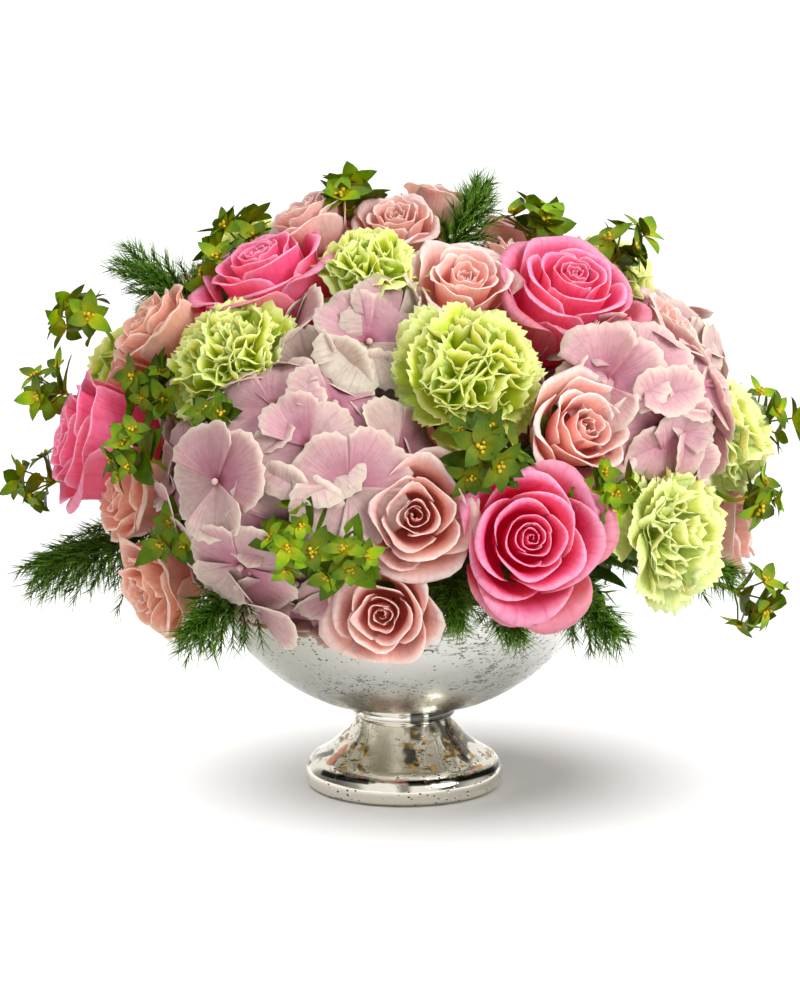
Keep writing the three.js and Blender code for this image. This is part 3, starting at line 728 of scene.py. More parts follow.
# how far out: (radius, height) at the base, the belly, the shoulder and the neck of the lip
ROSE_OUTLINES = [
    (0.00, [(0.010, -0.18), (0.050, -0.02), (0.036, 0.12), (0.014, 0.210)]),
    (0.22, [(0.030, -0.26), (0.105, -0.10), (0.072, 0.08), (0.078, 0.220)]),
    (0.45, [(0.050, -0.34), (0.205, -0.22), (0.138, 0.02), (0.178, 0.210)]),
    (0.72, [(0.060, -0.40), (0.320, -0.33), (0.235, -0.05), (0.305, 0.160)]),
    (1.00, [(0.070, -0.44), (0.395, -0.44), (0.340, -0.14), (0.420, 0.045)]),
]
SPRAY_OUTLINES = [
    (0.00, [(0.010, -0.16), (0.060, -0.06), (0.050, 0.03), (0.026, 0.09)]),
    (0.25, [(0.030, -0.22), (0.130, -0.14), (0.105, 0.02), (0.110, 0.145)]),
    (0.50, [(0.050, -0.30), (0.230, -0.22), (0.170, -0.02), (0.225, 0.160)]),
    (0.75, [(0.060, -0.36), (0.330, -0.30), (0.270, -0.10), (0.350, 0.100)]),
    (1.00, [(0.070, -0.40), (0.380, -0.40), (0.330, -0.20), (0.440, -0.020)]),
]
LIP_STARTS = 0.76


def blended_outline(outlines, depth):
    for (low, first), (high, second) in zip(outlines, outlines[1:]):
        if depth <= high:
            part = (depth - low) / (high - low)
            return np.array(first) * (1 - part) + np.array(second) * part
    return np.array(outlines[-1][1])


def petal_profile(outlines, depth, along, roll, roll_radius):
    """Radius and height along the middle of a petal; past LIP_STARTS the lip rolls outwards."""
    p0, p1, p2, p3 = blended_outline(outlines, depth)
    t = np.clip(along / LIP_STARTS, 0.0, 1.0)[:, None]
    line = (1 - t) ** 3 * p0 + 3 * t * (1 - t) ** 2 * p1 + 3 * t * t * (1 - t) * p2 + t ** 3 * p3
    end = unit(p3 - p2)
    outward = np.array([end[1], -end[0]])
    angle = np.clip((along - LIP_STARTS) / (1 - LIP_STARTS), 0.0, 1.0)[:, None] * roll
    line = line + roll_radius * (np.sin(angle) * end + (1 - np.cos(angle)) * outward)
    return line[:, 0], line[:, 1]


print("rose outlines", len(ROSE_OUTLINES), "and", len(SPRAY_OUTLINES))

# %% Bend one petal of a rose
# what sets the kinds apart: the outlines, the grid of a petal, how wavy it is, how far its lip
# rolls, how far its tip is drawn out, and half its angle at the heart and outside
PINK_ROSE = {
    "outlines": ROSE_OUTLINES, "grid": (15, 12), "wave": 0.010, "lip": 1.0, "corner": 0.016, "wrap": (92, 60)}
SPRAY_ROSE = {
    "outlines": SPRAY_OUTLINES, "grid": (12, 9), "wave": 0.024, "lip": 0.9, "corner": 0.038, "wrap": (88, 66)}
# the outermost, oldest petals are a little larger
GUARD_WRAP, GUARD_GROWTH = 46, 1.07


def rose_petal(bunch, head, axes, kind, tints, rng, depth, turn, half, grown=1.0):
    """One petal of a rose; depth is 0 at the heart and 1 outermost, half is half its angle."""
    wave, corner = kind["wave"], kind["corner"]
    across, along, faces = blank(*kind["grid"])
    short = 0.30 + 0.10 * depth
    reach = along * (1 - short * np.abs(across) ** 2.2)
    roll = kind["lip"] * math.radians(8 + 122 * depth) * rng.uniform(0.75, 1.15)
    roll_radius = (0.012 + 0.042 * depth ** 1.5) * rng.uniform(0.8, 1.2)
    radius, height = petal_profile(kind["outlines"], depth, reach, roll, roll_radius)
    open_out = 0.55 + 0.45 * smooth(along * 2.2)
    angle = turn + half * across * open_out
    lag = 0.010 + 0.014 * depth
    radius = radius * rng.uniform(0.95, 1.05) * grown
    radius = radius + lag * across * (1 - 0.55 * across ** 2) * smooth(along * 1.6)
    beat, shift = rng.uniform(2.0, 3.6), rng.uniform(0, 6.28)
    radius = radius + wave * (0.3 + depth) * along ** 2 * np.sin(beat * across * 2 + shift)
    height = height + wave * 0.8 * along ** 3 * np.sin(beat * across * 3.1 + shift * 2)
    tip = np.exp(-np.abs(across - rng.uniform(-0.25, 0.25)) / 0.25)
    radius = radius + corner * (0.25 + depth) * tip * smooth((along - 0.5) * 2.2)
    height = height - 0.02 * depth * np.abs(across) ** 1.5 * along ** 2
    local = around(angle, radius, height)
    tilt = rng.uniform(-0.05, 0.05) * (0.3 + depth)
    local[:, 2] += tilt * (local[:, 0] * math.cos(turn) + local[:, 1] * math.sin(turn))
    points = placed(local, axes, head)
    bunch.add(points, faces, along, across, depth if grown > 1 else 0.8 * depth, rng.uniform(*tints))


print("corners in a petal", len(blank(*PINK_ROSE["grid"])[0]), "and", len(blank(*SPRAY_ROSE["grid"])[0]))

# %% Set the petals of a rose
# tiers of a bloom: how many petals, and the depth of the first and the last of them
ROSE_TIERS = [(10, 0.0, 0.40), (6, 0.47, 0.74), (6, 0.82, 1.0)]
SPRAY_TIERS = [(7, 0.0, 0.36), (5, 0.48, 0.68), (6, 0.84, 1.0)]
BUD_TIERS = [(5, 0.0, 0.3), (4, 0.45, 0.8)]


def rose_head(bunch, head, tiers, kind, tints, rng, guards=()):
    wrap, outer_wrap = kind["wrap"]
    axes = axes_of(head[1], rng.uniform(0, 6.28))
    turn = rng.uniform(0, 6.28)
    for count, first, last in tiers:
        for depth in np.linspace(first, last, count):
            turn += GOLDEN_ANGLE + rng.uniform(-0.16, 0.16)
            half = math.radians(wrap - (wrap - outer_wrap) * smooth(depth * 1.15)) * rng.uniform(0.92, 1.1)
            rose_petal(bunch, head, axes, kind, tints, rng, depth, turn, half)
    for guard in guards:
        local = axes.T @ np.array(guard)
        turn, half = math.atan2(local[1], local[0]), math.radians(GUARD_WRAP)
        rose_petal(bunch, head, axes, kind, tints, rng, 1.0, turn, half, GUARD_GROWTH)


def calyx(bunch, head, rng, reach=0.34):
    """Green cup under the bloom with five narrow sepals."""
    axes = axes_of(head[1], rng.uniform(0, 6.28))
    across, along, faces = blank(4, 6)
    for i in range(5):
        turn = i * math.tau / 5 + rng.uniform(-0.1, 0.1)
        bend = rng.uniform(0.0, 1.0)
        half = math.radians(40) * (1 - along) ** 0.7 + 0.02
        radius = 0.055 + 0.30 * np.sin(along * 1.5) * (0.9 + 0.2 * bend)
        height = -0.43 + reach * along ** 1.2 - 0.2 * bend * along ** 3
        points = placed(around(turn + half * across, radius, height), axes, head)
        bunch.add(points, faces, along, across, tint=rng.random())


print("petals of a pink rose", sum(tier[0] for tier in ROSE_TIERS))

# %% [markdown]
# ## Stems
# A cut stem runs from the head into the foam. A curve with a bevel would do, but a tube that
# is written out closes its own ends and shares one mesh with the leaves. Its route is the
# solid's: out of the calyx, straight back, and for low heads up over the rim.

# %% Stem routes and tubes
FOCUS = np.array([0.0, 0.0, 112.0])
STEM_DEPTH = 46.0
STEM_ROOTS = {"bupleurum_crown": (-176, 64)}
ROSE_STEM, SPRAY_STEM, CARNATION_STEM, HYDRANGEA_STEM, SPRIG_STEM, FROND_STEM = 2.6, 1.7, 2.0, 3.0, 1.3, 1.2


def under_head(head):
    place, face, size = head
    return np.array(place, float) - facing(face) * (0.5 * size + 7)


def into_foam(start, root=None):
    spread = math.hypot(start[0], start[1])
    route = []
    last = start
    if spread > 84 and start[2] < RIM + 20:
        last = np.array([start[0] * 94 / spread, start[1] * 94 / spread, RIM + 14])
        route.append(last)
    inward = facing(root) if root else unit(last - FOCUS)
    return route + [FOCUS + inward * STEM_DEPTH]


def smooth_route(route, steps):
    """Points along a curve that passes through every point of the route."""
    route = [2 * route[0] - route[1]] + list(route) + [2 * route[-1] - route[-2]]
    line = []
    for a, b, c, d in zip(route, route[1:], route[2:], route[3:]):
        for k in range(steps):
            t = k / steps
            line.append(0.5 * (2 * b + (c - a) * t + (2 * a - 5 * b + 4 * c - d) * t * t
                               + (3 * b - 3 * c + d - a) * t ** 3))
    return np.array(line + [route[-2]])


def tube(bunch, line, start_radius, end_radius, sides=7, tint=0.5):
    """A closed tube with tapered ends along a line of points."""
    rings, count = [], len(line)
    ahead = units(np.gradient(line, axis=0))
    side = np.cross(ahead[0], (0.31, 0.87, 0.39))
    for k in range(count):
        side = unit(side - ahead[k] * np.dot(side, ahead[k]))
        up = np.cross(ahead[k], side)
        radius = start_radius + (end_radius - start_radius) * k / (count - 1)
        angles = np.arange(sides) * math.tau / sides
        rings.append(line[k] + radius * (np.cos(angles)[:, None] * side + np.sin(angles)[:, None] * up))
    points = np.concatenate(rings + [line[:1], line[-1:]])
    first, last = count * sides, count * sides + 1
    quads = []
    for k in range(count - 1):
        for j in range(sides):
            n = (j + 1) % sides
            quads.append((k * sides + j, k * sides + n, (k + 1) * sides + n, (k + 1) * sides + j))
    caps = [(first, (j + 1) % sides, j) for j in range(sides)]
    top = (count - 1) * sides
    caps += [(last, top + j, top + (j + 1) % sides) for j in range(sides)]
    along = np.concatenate([np.repeat(np.linspace(0, 1, count), sides), [0, 1]])
    bunch.add(points, quads + caps, along, tint=tint)


def stems(bunch, node, heads, radius):
    root = STEM_ROOTS.get(node)
    if len(heads) == 1:
        start = np.array(heads[0][0], float) - facing(heads[0][1]) * 0.38 * heads[0][2]
        route = [start, under_head(heads[0])] + into_foam(under_head(heads[0]), root)
        tube(bunch, smooth_route(route, 4), radius * 1.05, radius)
        return
    fork = sum(under_head(h) for h in heads) / len(heads)
    fork = fork + (FOCUS - fork) * 0.12
    tube(bunch, smooth_route([fork] + into_foam(fork, root), 4), radius * 0.9, radius)
    for head in heads:
        start = np.array(head[0], float) - facing(head[1]) * 0.38 * head[2]
        tube(bunch, smooth_route([start, under_head(head), fork], 3), radius * 0.7, radius * 0.8)


print("stems meet below", FOCUS, "and end", STEM_DEPTH, "mm from there")


# %% Leaves
def leaf(bunch, base, ahead, up, length, width, bend, rng, blank_size=(4, 6), shade=1.0):
    """A pointed leaf from its base along a direction; up is its upper side."""
    across, along, faces = blank(*blank_size)
    side = unit(np.cross(ahead, up))
    up = np.cross(side, ahead)
    half = 0.5 * width * (np.sin(np.pi * along ** 0.8) ** 0.8 + 0.06 * (1 - along))
    run = length * along
    lift = -bend * length * along ** 2 + 0.22 * half * np.abs(across)
    points = base + np.outer(run, ahead) + np.outer(half * across, side) + np.outer(lift, up)
    bunch.add(points, faces, along, across, 0.4, shade * rng.random())


# where broad leaves hide the rim of the foam, as turns in degrees
RIM_LEAVES = {
    "hydrangea_back_right": (4, 20, 34), "hydrangea_back_left": (142, 158, 174), "hydrangea_right": (-44,),
    "spray_rose_lower_right": (-34, -10), "spray_rose_lower_left": (-150,), "spray_rose_back": (68, 84, 104)}


def rim_leaves(bunch, node, rng):
    """Broad leaves low on a stem, that lie out over the rim of the bowl."""
    for turn in RIM_LEAVES.get(node, ()):
        for step in (-7, 6):
            out = facing((turn + step + rng.uniform(-3, 3), rng.uniform(-8, 14)))
            level = np.array([out[0], out[1], 0.0])
            root = level * 92 + np.array([0, 0, RIM + rng.uniform(3, 8)])
            twig = np.array([root - level * 30 - np.array([0, 0, 12]), root - level * 12, root])
            tube(bunch, twig, 1.0, 0.8, sides=5)
            length, width = rng.uniform(28, 37), rng.uniform(19, 24)
            leaf(bunch, root, out, np.array([0, 0, 1.0]), length, width, 0.35, rng, (6, 8), 0.8)


def leaf_material(name, shades, vein, roughness=0.5, spread=(0.6, 1.2)):
    return petal_material(name, shades, shades[-1][1], vein, roughness, glow=0.08, spread=spread, gloss=0.18)


STEM_GREEN = leaf_material(
    "stem_green", [(0.0, (78, 122, 38)), (0.6, (92, 138, 48)), (1.0, (74, 108, 40))], (60, 98, 30))


def grow_stem(node, heads, green, radius):
    """Adds the stem to the green parts of a flower and makes one piece of them."""
    stems(green, node, heads, radius)
    grow(node, green.piece(node + "_stem", STEM_GREEN))


print("leaves over the rim", sum(2 * len(turns) for turns in RIM_LEAVES.values()))

# %% [markdown]
# ## Grow the roses
# The old guard petals of a pink rose hang down, so they are set one by one. Spray roses are
# smaller, open wider and have fewer petals, and a bud has only nine. Flowers of one cut stem
# could each be a piece, but they go together with their stem, as they do in the hand: all its
# blooms are one mesh, and the stem with its sepals and leaves is a second.

# %% Pink roses
ROSE_THICKNESS, THICKNESS = 0.35, 0.3
# how light the petals of a bloom are: the least and the greatest of their tints. Partly painted
# light and shade: blooms that stand in the light get lighter tints and those in shade darker ones.
TINTS_AND_PAINTED_LIGHT = {
    "spray_rose_front": (0.0, 0.6), "spray_rose_crown_left": (0.0, 0.5),
    "spray_rose_crown_right": (0.2, 0.8), "spray_rose_upper_right": (0.0, 0.7),
    "spray_rose_upper_front": (0.6, 1.0), "spray_rose_mid_right": (0.6, 1.0),
    "spray_rose_upper_left": (0.0, 0.5), "spray_rose_lower_left": (0.3, 1.0),
    "carnation_left": (0.0, 0.15), "hydrangea_front": (0.0, 0.4), "hydrangea_top": (0.0, 0.4),
    "hydrangea_right": (0.6, 0.9)}
# the oldest, outermost petals, by the way in which they point
GUARDS = {
    "pink_rose_front": [(1.0, 0.0, 0.15), (0.3, 0.0, -1.0), (-0.4, 0.0, -1.0)],
    "pink_rose_top_right": [(-0.7, 0.0, -0.8), (0.8, 0.0, -0.8)],
    "pink_rose_top_left": [(0.3, 0.0, -1.0), (-0.9, 0.0, -0.5)],
}
for number, (node, heads) in enumerate(ROSES.items()):
    rng = random.Random(100 + number)
    petals, green = Bunch(), Bunch()
    tints = TINTS_AND_PAINTED_LIGHT.get(node, (0.0, 1.0))
    rose_head(petals, heads[0], ROSE_TIERS, PINK_ROSE, tints, rng, GUARDS.get(node, ()))
    calyx(green, heads[0], rng)
    grow(node, petals.piece(node + "_bloom", PINK, ROSE_THICKNESS))
    grow_stem(node, heads, green, ROSE_STEM)
print("roses", len(ROSES), round(time.time() - started, 1), "s")

# %% Spray roses
# open outer petals need more room than the solid, and the smallest heads are buds
SPRAY_FULLNESS, BUD_SIZE = 1.16, 30
PEACHES = ("spray_rose_upper_left", "spray_rose_lower_left", "spray_rose_back_left")
for number, (node, heads) in enumerate(SPRAY_ROSES.items()):
    rng = random.Random(200 + number)
    petals, green = Bunch(), Bunch()
    for head in heads:
        place, face, size = head
        tiers, tints = SPRAY_TIERS if size > BUD_SIZE else BUD_TIERS, TINTS_AND_PAINTED_LIGHT.get(node, (0.1, 1.0))
        rose_head(petals, (place, face, SPRAY_FULLNESS * size), tiers, SPRAY_ROSE, tints, rng)
        calyx(green, head, rng)
    rim_leaves(green, node, rng)
    bloom = petals.piece(node + "_bloom", PEACH if node in PEACHES else BLUSH, THICKNESS)
    grow(node, bloom)
    grow_stem(node, heads, green, SPRAY_STEM)
print("spray roses", len(SPRAY_ROSES), round(time.time() - started, 1), "s")

# %% [markdown]
# ## Carnations
# A carnation bursts out of its green cup. Every petal is a fan with a long narrow claw; its
# broad end is ruffled and its edge is cut into teeth. Inner petals stand up, outer ones lie
# out. Ruffles could be made by a cloth simulation, but two waves added up give them at once.

# %% Carnations
CARNATION_PETALS = 46
# how pale a bloom is
PALENESS = {
    "carnation_lower_right": 0.85, "carnation_right": 0.8, "carnation_top": 0.45, "carnation_back_right": 0.7,
    "carnation_middle": 0.28, "carnation_left": 0.0}
# the fineness of the teeth of those seen best
TEETH = {"carnation_left": 24, "carnation_middle": 24, "carnation_lower_right": 24, "carnation_top": 20}


def carnation_head(bunch, green, head, rng, petals, columns, pale, tints):
    axes, size = axes_of(head[1], rng.uniform(0, 6.28)), head[2]
    across, along, faces = blank(columns, 6)
    saw = np.rint((across + 1) / 2 * columns) % 2
    turn = 0.0
    for i in range(petals):
        depth = i / (petals - 1)
        turn += GOLDEN_ANGLE + rng.uniform(-0.35, 0.35)
        lean = math.radians(max(2.0, 4 + 92 * depth ** 1.1 + rng.uniform(-14, 12)))
        length = (0.70 - 0.04 * depth) * rng.uniform(0.82, 1.05)
        start, gain = 0.22 * lean, 0.98 * lean
        run = (np.cos(start) - np.cos(start + gain * along)) / gain * length
        rise = (np.sin(start + gain * along) - np.sin(start)) / gain * length
        slope = start + gain * along
        blade = smooth((along - 0.18) / 0.62)
        half = length * math.tan(math.radians(rng.uniform(21, 29))) * (0.10 + 0.90 * blade)
        cut = (0.036 * saw + 0.045 * ragged(across, columns, rng)) * smooth((along - 0.8) * 5)
        cut += 0.18 * np.abs(across) ** 2.4 * smooth((along - 0.55) * 2.3)
        beats, shift = rng.uniform(3.2, 5.6) - 1.2 * depth, rng.uniform(0, 6.28)
        ruffle = (0.076 - 0.030 * depth) * blade * np.sin(beats * across + shift)
        ruffle += 0.022 * blade ** 3 * np.sin(beats * 2.6 * across + shift * 3)
        ruffle += 0.05 * blade * across ** 2 * rng.uniform(-0.6, 1.4)
        out = run + (ruffle - 0.02) * np.cos(slope) - cut * length * np.sin(slope)
        high = rise - (ruffle - 0.02) * np.sin(slope) - cut * length * np.cos(slope)
        side = half * across * (1 - 0.1 * np.abs(across) ** 3)
        c, s = math.cos(turn), math.sin(turn)
        local = np.stack([out * c - side * s, out * s + side * c, high - 0.31], axis=1)
        bunch.add(placed(local, axes, head), faces, along, across, 0.5 * depth + pale, rng.uniform(*tints))
    cup = np.array([(0.0, 0.0, height) for height in (-0.55, -0.48, -0.36, -0.27, -0.20)])
    tube(green, placed(cup, axes, head), 0.12 * size, 0.19 * size, sides=12, tint=0.9)


print("petals of a carnation", CARNATION_PETALS)

# %% Grow the carnations
for number, (node, heads) in enumerate(CARNATIONS.items()):
    rng = random.Random(300 + number)
    petals, green = Bunch(), Bunch()
    columns, pale = TEETH.get(node, 10 if "back" in node else 16), PALENESS.get(node, 0.1)
    tints = TINTS_AND_PAINTED_LIGHT.get(node, (0.0, 1.0))
    carnation_head(petals, green, heads[0], rng, CARNATION_PETALS, columns, pale, tints)
    grow(node, petals.piece(node + "_bloom", LIME, THICKNESS))
    grow_stem(node, heads, green, CARNATION_STEM)
print("carnations", len(CARNATIONS), round(time.time() - started, 1), "s")

# %% [markdown]
# ## Hydrangeas
# A hydrangea head is a ball of florets. Each floret has four broad sepals, folded along the
# middle and toothed at the edge, round a pale bead. Particles could scatter them, but they
# would overlap at random. Here some are listed one by one, where they are seen best, and the
# others sit a golden angle apart over the front of the ball and keep clear of those.

# %% Hydrangeas
FLORET = 30.0
# no floret of this head stands higher, where a carnation sits on it
CEILING = {"hydrangea_top": 244}


def floret(bunch, centre, out, roll, length, rng, columns, cream, tints):
    axes = axes_of(face_of(out), roll)
    across, along, faces = blank(columns, 5)
    for i in range(4):
        turn = i * math.pi / 2 + rng.uniform(-0.14, 0.14)
        size = length * rng.uniform(0.86, 1.12)
        fan = math.radians(rng.uniform(46, 54)) * across
        saw = np.rint((across + 1) / 2 * columns) % 2
        teeth = (0.03 * saw + 0.04 * ragged(across, columns, rng)) * smooth((along - 0.75) * 4)
        round_off = 1 - 0.22 * np.abs(across) ** 3 - 0.05 * np.exp(-(across / 0.14) ** 2)
        reach = size * (0.04 + 0.96 * along * round_off - teeth)
        wave = 0.05 * along ** 2 * np.sin(rng.uniform(2.5, 4) * across + rng.uniform(0, 6.28))
        fold = 0.16 * np.abs(across) * along
        lift = size * (rng.uniform(-0.05, 0.22) * along ** 1.4 + wave + fold - 0.12 * along ** 3)
        lift = lift + (0.5 if i % 2 else 0.0)
        points = around(turn + fan, reach, lift) @ axes.T + centre
        bunch.add(points, faces, along, across, rng.uniform(cream, cream + 0.5), rng.uniform(*tints))


def bead(bunch, centre, radius, tint=0.5, along=0.9):
    """A small eight-sided ball."""
    line = np.array([[0, 0, -0.95], [0, 0, -0.55], [0, 0, 0.0], [0, 0, 0.55], [0, 0, 0.95]]) * radius
    widths = (0.3, 0.85, 1.0, 0.85, 0.3)
    angles = np.arange(8) * math.tau / 8
    rings = [np.stack([np.cos(angles) * w * radius, np.sin(angles) * w * radius, np.full(8, z[2])], axis=1)
             for w, z in zip(widths, line)]
    points = np.concatenate(rings + [line[:1], line[-1:]]) + centre
    quads = [(k * 8 + j, k * 8 + (j + 1) % 8, k * 8 + 8 + (j + 1) % 8, k * 8 + 8 + j)
             for k in range(4) for j in range(8)]
    caps = [(40, (j + 1) % 8, j) for j in range(8)] + [(41, 32 + j, 32 + (j + 1) % 8) for j in range(8)]
    bunch.add(points, quads + caps, along, tint=tint)


print("floret", FLORET, "mm from its middle to a tip")

# %% Grow the hydrangeas
# how far the sepals of a head have turned from pink to cream
CREAM = {"hydrangea_top": 0.55, "hydrangea_right": 0.2}
# florets listed one by one: turn and rise on the ball, roll of the four sepals and how far it stands out
SET_FLORETS = {
    "hydrangea_front": [
        ((-129, 15), 0.35, 3), ((-66, 14), 0.75, 3), ((-29, 26), 0.2, 1), ((-84, 34), 0.5, 0),
        ((-117, -22), 0.7, 3), ((-97, -3), 0.3, -2), ((-112, 58), 0.1, -2), ((-56, 58), 0.9, -1),
        ((-165, 18), 0.5, -3)],
    "hydrangea_right": [((-104, 31), 0.3, 2), ((-72, 42), 0.6, 1), ((-28, 27), 0.5, 2), ((-60, 2), 0.1, 1)],
    "hydrangea_top": [((-78, 25), 0.7, 2), ((-117, -3), 0.3, 1), ((-108, 38), 0.9, 1), ((-45, 38), 0.2, 0)],
}
for number, (node, heads) in enumerate(HYDRANGEAS.items()):
    rng = random.Random(400 + number)
    sepals, beads, green = Bunch(), Bunch(), Bunch()
    place, face, size = heads[0]
    centre = np.array(place, float)
    axes = axes_of(face)
    ball = 0.5 * size - 7
    spots = [(facing(spot), roll, lift) for spot, roll, lift in SET_FLORETS.get(node, [])]
    seen = len(spots)
    many = int(25 * (size / 118) ** 2) + 7
    for i in range(many):
        rise = 1 - 1.62 * (i + 0.5) / many
        angle = i * GOLDEN_ANGLE
        flat = math.sqrt(1 - rise * rise)
        out = axes @ around(angle, flat, rise)
        if all(np.dot(out, spot[0]) < 0.91 for spot in spots[:seen]):
            spots.append((out, rng.uniform(0, 1.57), rng.uniform(-3.5, 1.0)))
    for out, roll, lift in spots:
        tilt = unit(out + np.array([rng.uniform(-0.2, 0.2) for axis in range(3)]))
        middle = centre + out * (ball + lift)
        if middle[2] > CEILING.get(node, 400):
            continue
        columns, tints = 10 if "back" in node else 18, TINTS_AND_PAINTED_LIGHT.get(node, (0.2, 0.9))
        floret(sepals, middle, tilt, roll, FLORET, rng, columns, CREAM.get(node, 0.35), tints)
        bead(beads, middle + tilt * 1.8, 1.7)
        twig = np.array([middle - out * 0.3, middle - out * ball * 0.45, centre - facing(face) * size * 0.3])
        tube(green, twig, 0.9, 1.2, sides=5)
    rim_leaves(green, node, rng)
    grow(node, sepals.piece(node + "_bloom", HYDRANGEA, THICKNESS))
    grow(node, beads.piece(node + "_beads", HYDRANGEA))
    grow_stem(node, heads, green, HYDRANGEA_STEM)
print("hydrangeas", len(HYDRANGEAS), round(time.time() - started, 1), "s")

# %% [markdown]
# ## Bupleurum
# Bupleurum has small yellow umbels, each sitting in a star of pointed green bracts, on thin
# stalks with leaves at their foot. The bracts are about a centimetre long and there are
# hundreds, so each is a leaf of only ten faces, folded along its middle.

# %% Bupleurum
BRACT = leaf_material(
    "bupleurum_green",
    [(0.0, (188, 174, 4)), (0.3, (152, 166, 4)), (0.7, (112, 148, 4)), (1.0, (82, 118, 2))],
    (62, 98, 2), 0.5, (0.40, 1.3))
YELLOW = leaf_material(
    "bupleurum_yellow", [(0.0, (206, 170, 20)), (1.0, (216, 184, 40))], (170, 140, 20), 0.6)


def umbel(bunch, beads, centre, out, size, rng, shade):
    """Five or six bracts in a star with yellow beads in the middle."""
    axes = axes_of(face_of(out), rng.uniform(0, 6.28))
    count = rng.choice((5, 5, 6))
    for i in range(count):
        angle = i * math.tau / count + rng.uniform(-0.25, 0.25)
        ahead = axes @ unit(around(angle, 1.0, rng.uniform(0.0, 0.9)))
        bend, length = rng.uniform(-0.1, 0.35), size * rng.uniform(0.75, 1.2)
        leaf(bunch, centre, ahead, axes[:, 2], length, size * 0.60, bend, rng, (2, 5), shade)
    for i in range(5):
        angle, flat = i * GOLDEN_ANGLE, 0.09 * size * math.sqrt(i)
        spot = axes @ around(angle, flat, size * rng.uniform(0.1, 0.22))
        bead(beads, centre + spot, size * rng.uniform(0.05, 0.085), tint=rng.random())


print("bract and bead materials", BRACT.name, YELLOW.name)

# %% Grow the bupleurum
# how many leaves sit at the foot of a sprig
LEAVES = {
    "bupleurum_middle": 44, "bupleurum_mid_left": 12, "bupleurum_low_left": 12, "bupleurum_front": 10,
    "bupleurum_crown": 14, "bupleurum_top_left": 14, "bupleurum_top_right": 16}
# painted shade: these sprigs, most of them deep among the flowers, get darker bracts and leaves
SHADED = {
    "bupleurum_middle": 0.1, "bupleurum_mid_left": 0.45, "bupleurum_low_left": 0.6, "bupleurum_top_left": 0.6}
# the bracts of the sprigs that stand out of the outline are broader
BROADER = {
    "bupleurum_drooping": 1.35, "bupleurum_far_right": 1.15, "bupleurum_top_right": 1.3,
    "bupleurum_crown": 1.2, "bupleurum_top_left": 1.3, "bupleurum_upper_left": 1.08,
    "bupleurum_far_left": 1.15, "bupleurum_middle": 1.2}


def bupleurum_head(bunch, beads, head, leaves, rng, shade, broad):
    place, face, size = head
    axes = axes_of(face, rng.uniform(0, 6.28))
    middle = np.array(place, float)
    base = middle - axes[:, 2] * 0.5 * size
    umbels = max(4, round(size / 5))
    for i in range(umbels):
        part = (i + 0.5) / umbels
        angle, flat = i * GOLDEN_ANGLE + rng.uniform(-0.3, 0.3), 0.52 * math.sqrt(part)
        high = 0.24 - 0.5 * part + rng.uniform(-0.1, 0.1)
        centre = middle + axes @ (around(angle, flat, high) * size)
        out = unit(unit(centre - base) + np.array([rng.uniform(-0.45, 0.45) for axis in range(3)]))
        umbel(bunch, beads, centre, out, broad * rng.uniform(8.5, 12.5), rng, shade)
        stalk = np.array([base, 0.5 * (base + centre) + axes[:, 2], centre])
        tube(bunch, stalk, 0.6, 0.45, sides=5, tint=0.3)
    for i in range(leaves):
        angle = i * 2.1 + rng.uniform(0, 1)
        ahead = axes @ unit(around(angle, 1.0, rng.uniform(0.1, 0.9)))
        root = base + axes[:, 2] * size * 0.12 * (i % 3)
        length, width = rng.uniform(14, 24), rng.uniform(8, 12)
        leaf(bunch, root, ahead, axes[:, 2], length, width, 0.2, rng, shade=0.5 * shade)


for number, (node, heads) in enumerate(BUPLEURUMS.items()):
    rng = random.Random(500 + number)
    green, beads = Bunch(), Bunch()
    for head in heads:
        shade, broad = SHADED.get(node, 1.0), BROADER.get(node, 1.0)
        bupleurum_head(green, beads, head, LEAVES.get(node, 6), rng, shade, broad)
    stems(green, node, heads, SPRIG_STEM)
    grow(node, green.piece(node + "_leaves", BRACT))
    grow(node, beads.piece(node + "_umbels", YELLOW))
print("bupleurum", len(BUPLEURUMS), round(time.time() - started, 1), "s")

# %% [markdown]
# ## Fern
# The fern is a feathery plume. A spine carries branchlets that arch over, and needles stand
# all round every branchlet and point ahead. Strands of hair would look right here, but only
# meshes go into an export, so each needle is a spike of four faces.

# %% Fern
NEEDLE_WIDTH = 0.30
NEEDLE = leaf_material(
    "fern_green", [(0.0, (40, 76, 8)), (0.5, (72, 124, 18)), (1.0, (128, 176, 44))], (46, 88, 10), 0.5)


def needles(bunch, bases, tips, width, rng):
    """Thin spikes with three sides, each from its base to its tip."""
    ahead = tips - bases
    side = np.cross(ahead, (0.3, 0.5, 0.8))
    side *= width / np.linalg.norm(side, axis=1)[:, None]
    up = np.cross(ahead, side)
    up *= width / np.linalg.norm(up, axis=1)[:, None]
    corners = [bases + side, bases - 0.5 * side + 0.87 * up, bases - 0.5 * side - 0.87 * up, tips]
    points = np.stack(corners, axis=1).reshape(-1, 3)
    one = np.array([(0, 1, 3), (1, 2, 3), (2, 0, 3), (2, 1, 0)])
    faces = (one + 4 * np.arange(len(bases))[:, None, None]).reshape(-1, 3)
    tint = np.repeat([rng.random() for base in bases], 4)
    bunch.add(points, faces, np.tile([0.0, 0.0, 0.0, 1.0], len(bases)), 0.0, 0.5, tint)


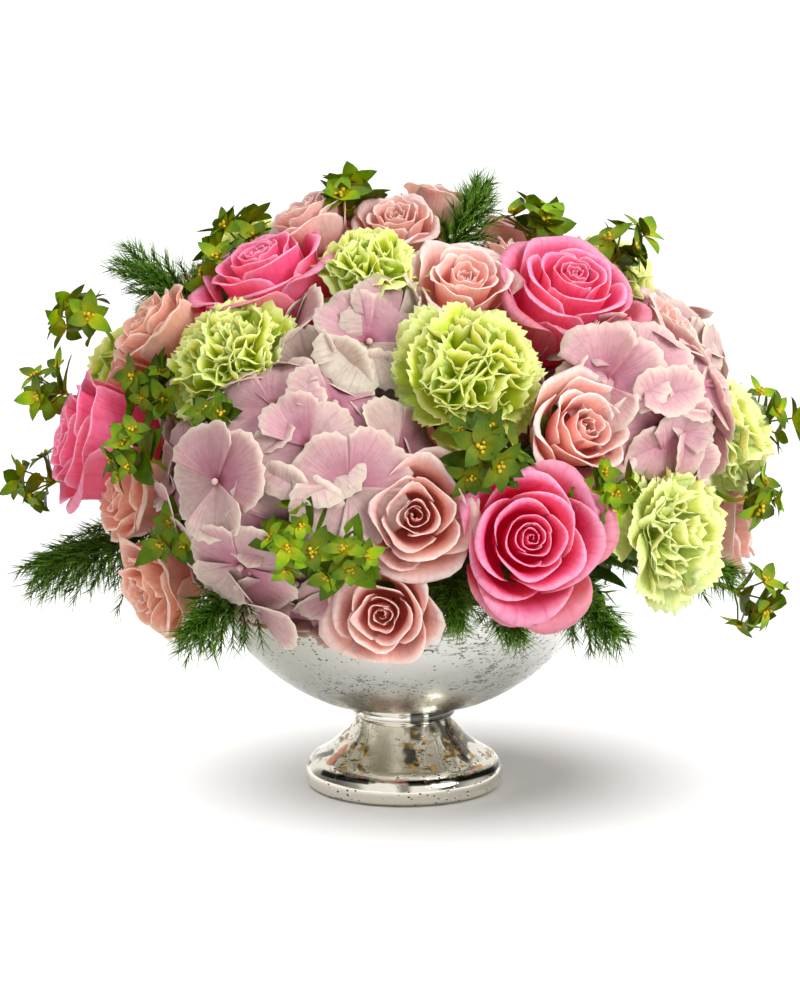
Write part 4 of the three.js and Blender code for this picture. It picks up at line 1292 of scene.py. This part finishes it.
def feather(bunch, root, branch, reach, rng, droop=0.0):
    """A branchlet that arches over, set all round with needles that point ahead."""
    line = [root, root + branch * reach * 0.5 - np.array([0, 0, 0.1 * droop * reach]),
            root + branch * reach - np.array([0, 0, 0.45 * droop * reach])]
    line = smooth_route(line, 3)
    tube(bunch, line, 0.4, 0.2, sides=3, tint=0.2)
    count = int(reach * 1.25) + 8
    part = np.linspace(0.06, 1.0, count) * (len(line) - 1)
    spots = np.stack([np.interp(part, range(len(line)), line[:, axis]) for axis in range(3)], axis=1)
    ahead = units(np.gradient(spots, axis=0))
    toss = np.array([[rng.gauss(0, 1) for axis in range(3)] for spot in spots])
    toss = units(toss - ahead * (toss * ahead).sum(axis=1)[:, None])
    length = np.array([rng.uniform(8.0, 13.0) for spot in spots])[:, None]
    needles(bunch, spots, spots + units(ahead * 1.5 + toss) * length, NEEDLE_WIDTH, rng)


print("needle", NEEDLE_WIDTH, "mm")


# %% Fronds
SKIRT = 12


def skirt(bunch, head, rng, count):
    """Short branchlets that lie along the rim where a low frond crosses it."""
    over_rim = into_foam(under_head(head))[0]
    ahead = unit(np.array(head[0], float) - over_rim)
    sideways = unit(np.cross((0, 0, 1), ahead))
    for i in range(count):
        root = over_rim + ahead * rng.uniform(2, 22) + np.array([0, 0, rng.uniform(-2, 6)])
        branch = sideways * (1 if i % 2 else -1) + ahead * rng.uniform(0.0, 0.6)
        branch[2] += rng.uniform(-0.1, 0.3)
        feather(bunch, root, unit(branch), rng.uniform(16, 32), rng, 0.5)


def plume(bunch, head, rng, count, spread):
    place, face, size = head
    axes = axes_of(face)
    middle, ahead = np.array(place, float), axes[:, 2]
    low = face[1] < 0
    start, length = middle - ahead * 0.60 * size, spread * size
    spine = [start, start + ahead * length * 0.5 + axes[:, 1] * size * 0.04, start + ahead * length]
    tube(bunch, smooth_route(spine, 4), 0.9, 0.4, sides=5, tint=0.2)
    for i in range(count):
        part = (i + 0.5) / count
        root = start + ahead * length * part
        angle = i * GOLDEN_ANGLE
        swing = axes[:, 0] * math.cos(angle) + axes[:, 1] * math.sin(angle) * 0.8
        reach = size * (0.62 * spread - 0.16 * part) * rng.uniform(0.7, 1.15)
        branch = unit(swing * (0.95 - 0.55 * part) + ahead * (0.6 + 0.5 * part))
        feather(bunch, root, branch, reach, rng, 0.7 if low else 0.3)
    if low:
        skirt(bunch, head, rng, SKIRT)


print("branchlets along the rim", SKIRT)

# %% Grow the fern
# how far a frond spreads, and with how many branchlets for that
FROND_SPREAD = {
    "fern_left": 0.74, "fern_top_left": 0.70, "fern_crown": 0.66, "fern_low_left": 0.66,
    "fern_front": 0.46, "fern_front_right": 0.46}
BRANCHLETS = {"fern_left": 96}
for number, (node, heads) in enumerate(FERNS.items()):
    rng = random.Random(600 + number)
    green = Bunch()
    spread = FROND_SPREAD.get(node, 0.54)
    plume(green, heads[0], rng, int(BRANCHLETS.get(node, 72) * spread), spread)
    stems(green, node, heads, FROND_STEM)
    grow(node, green.piece(node + "_plume", NEEDLE))
print("ferns", len(FERNS), round(time.time() - started, 1), "s")

# %% Finish
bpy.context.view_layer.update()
triangles = sum(len(p.vertices) - 2 for o in bpy.data.objects if o.type == "MESH" for p in o.data.polygons)
print("triangles", triangles)
print("built in", round(time.time() - started, 1), "s")
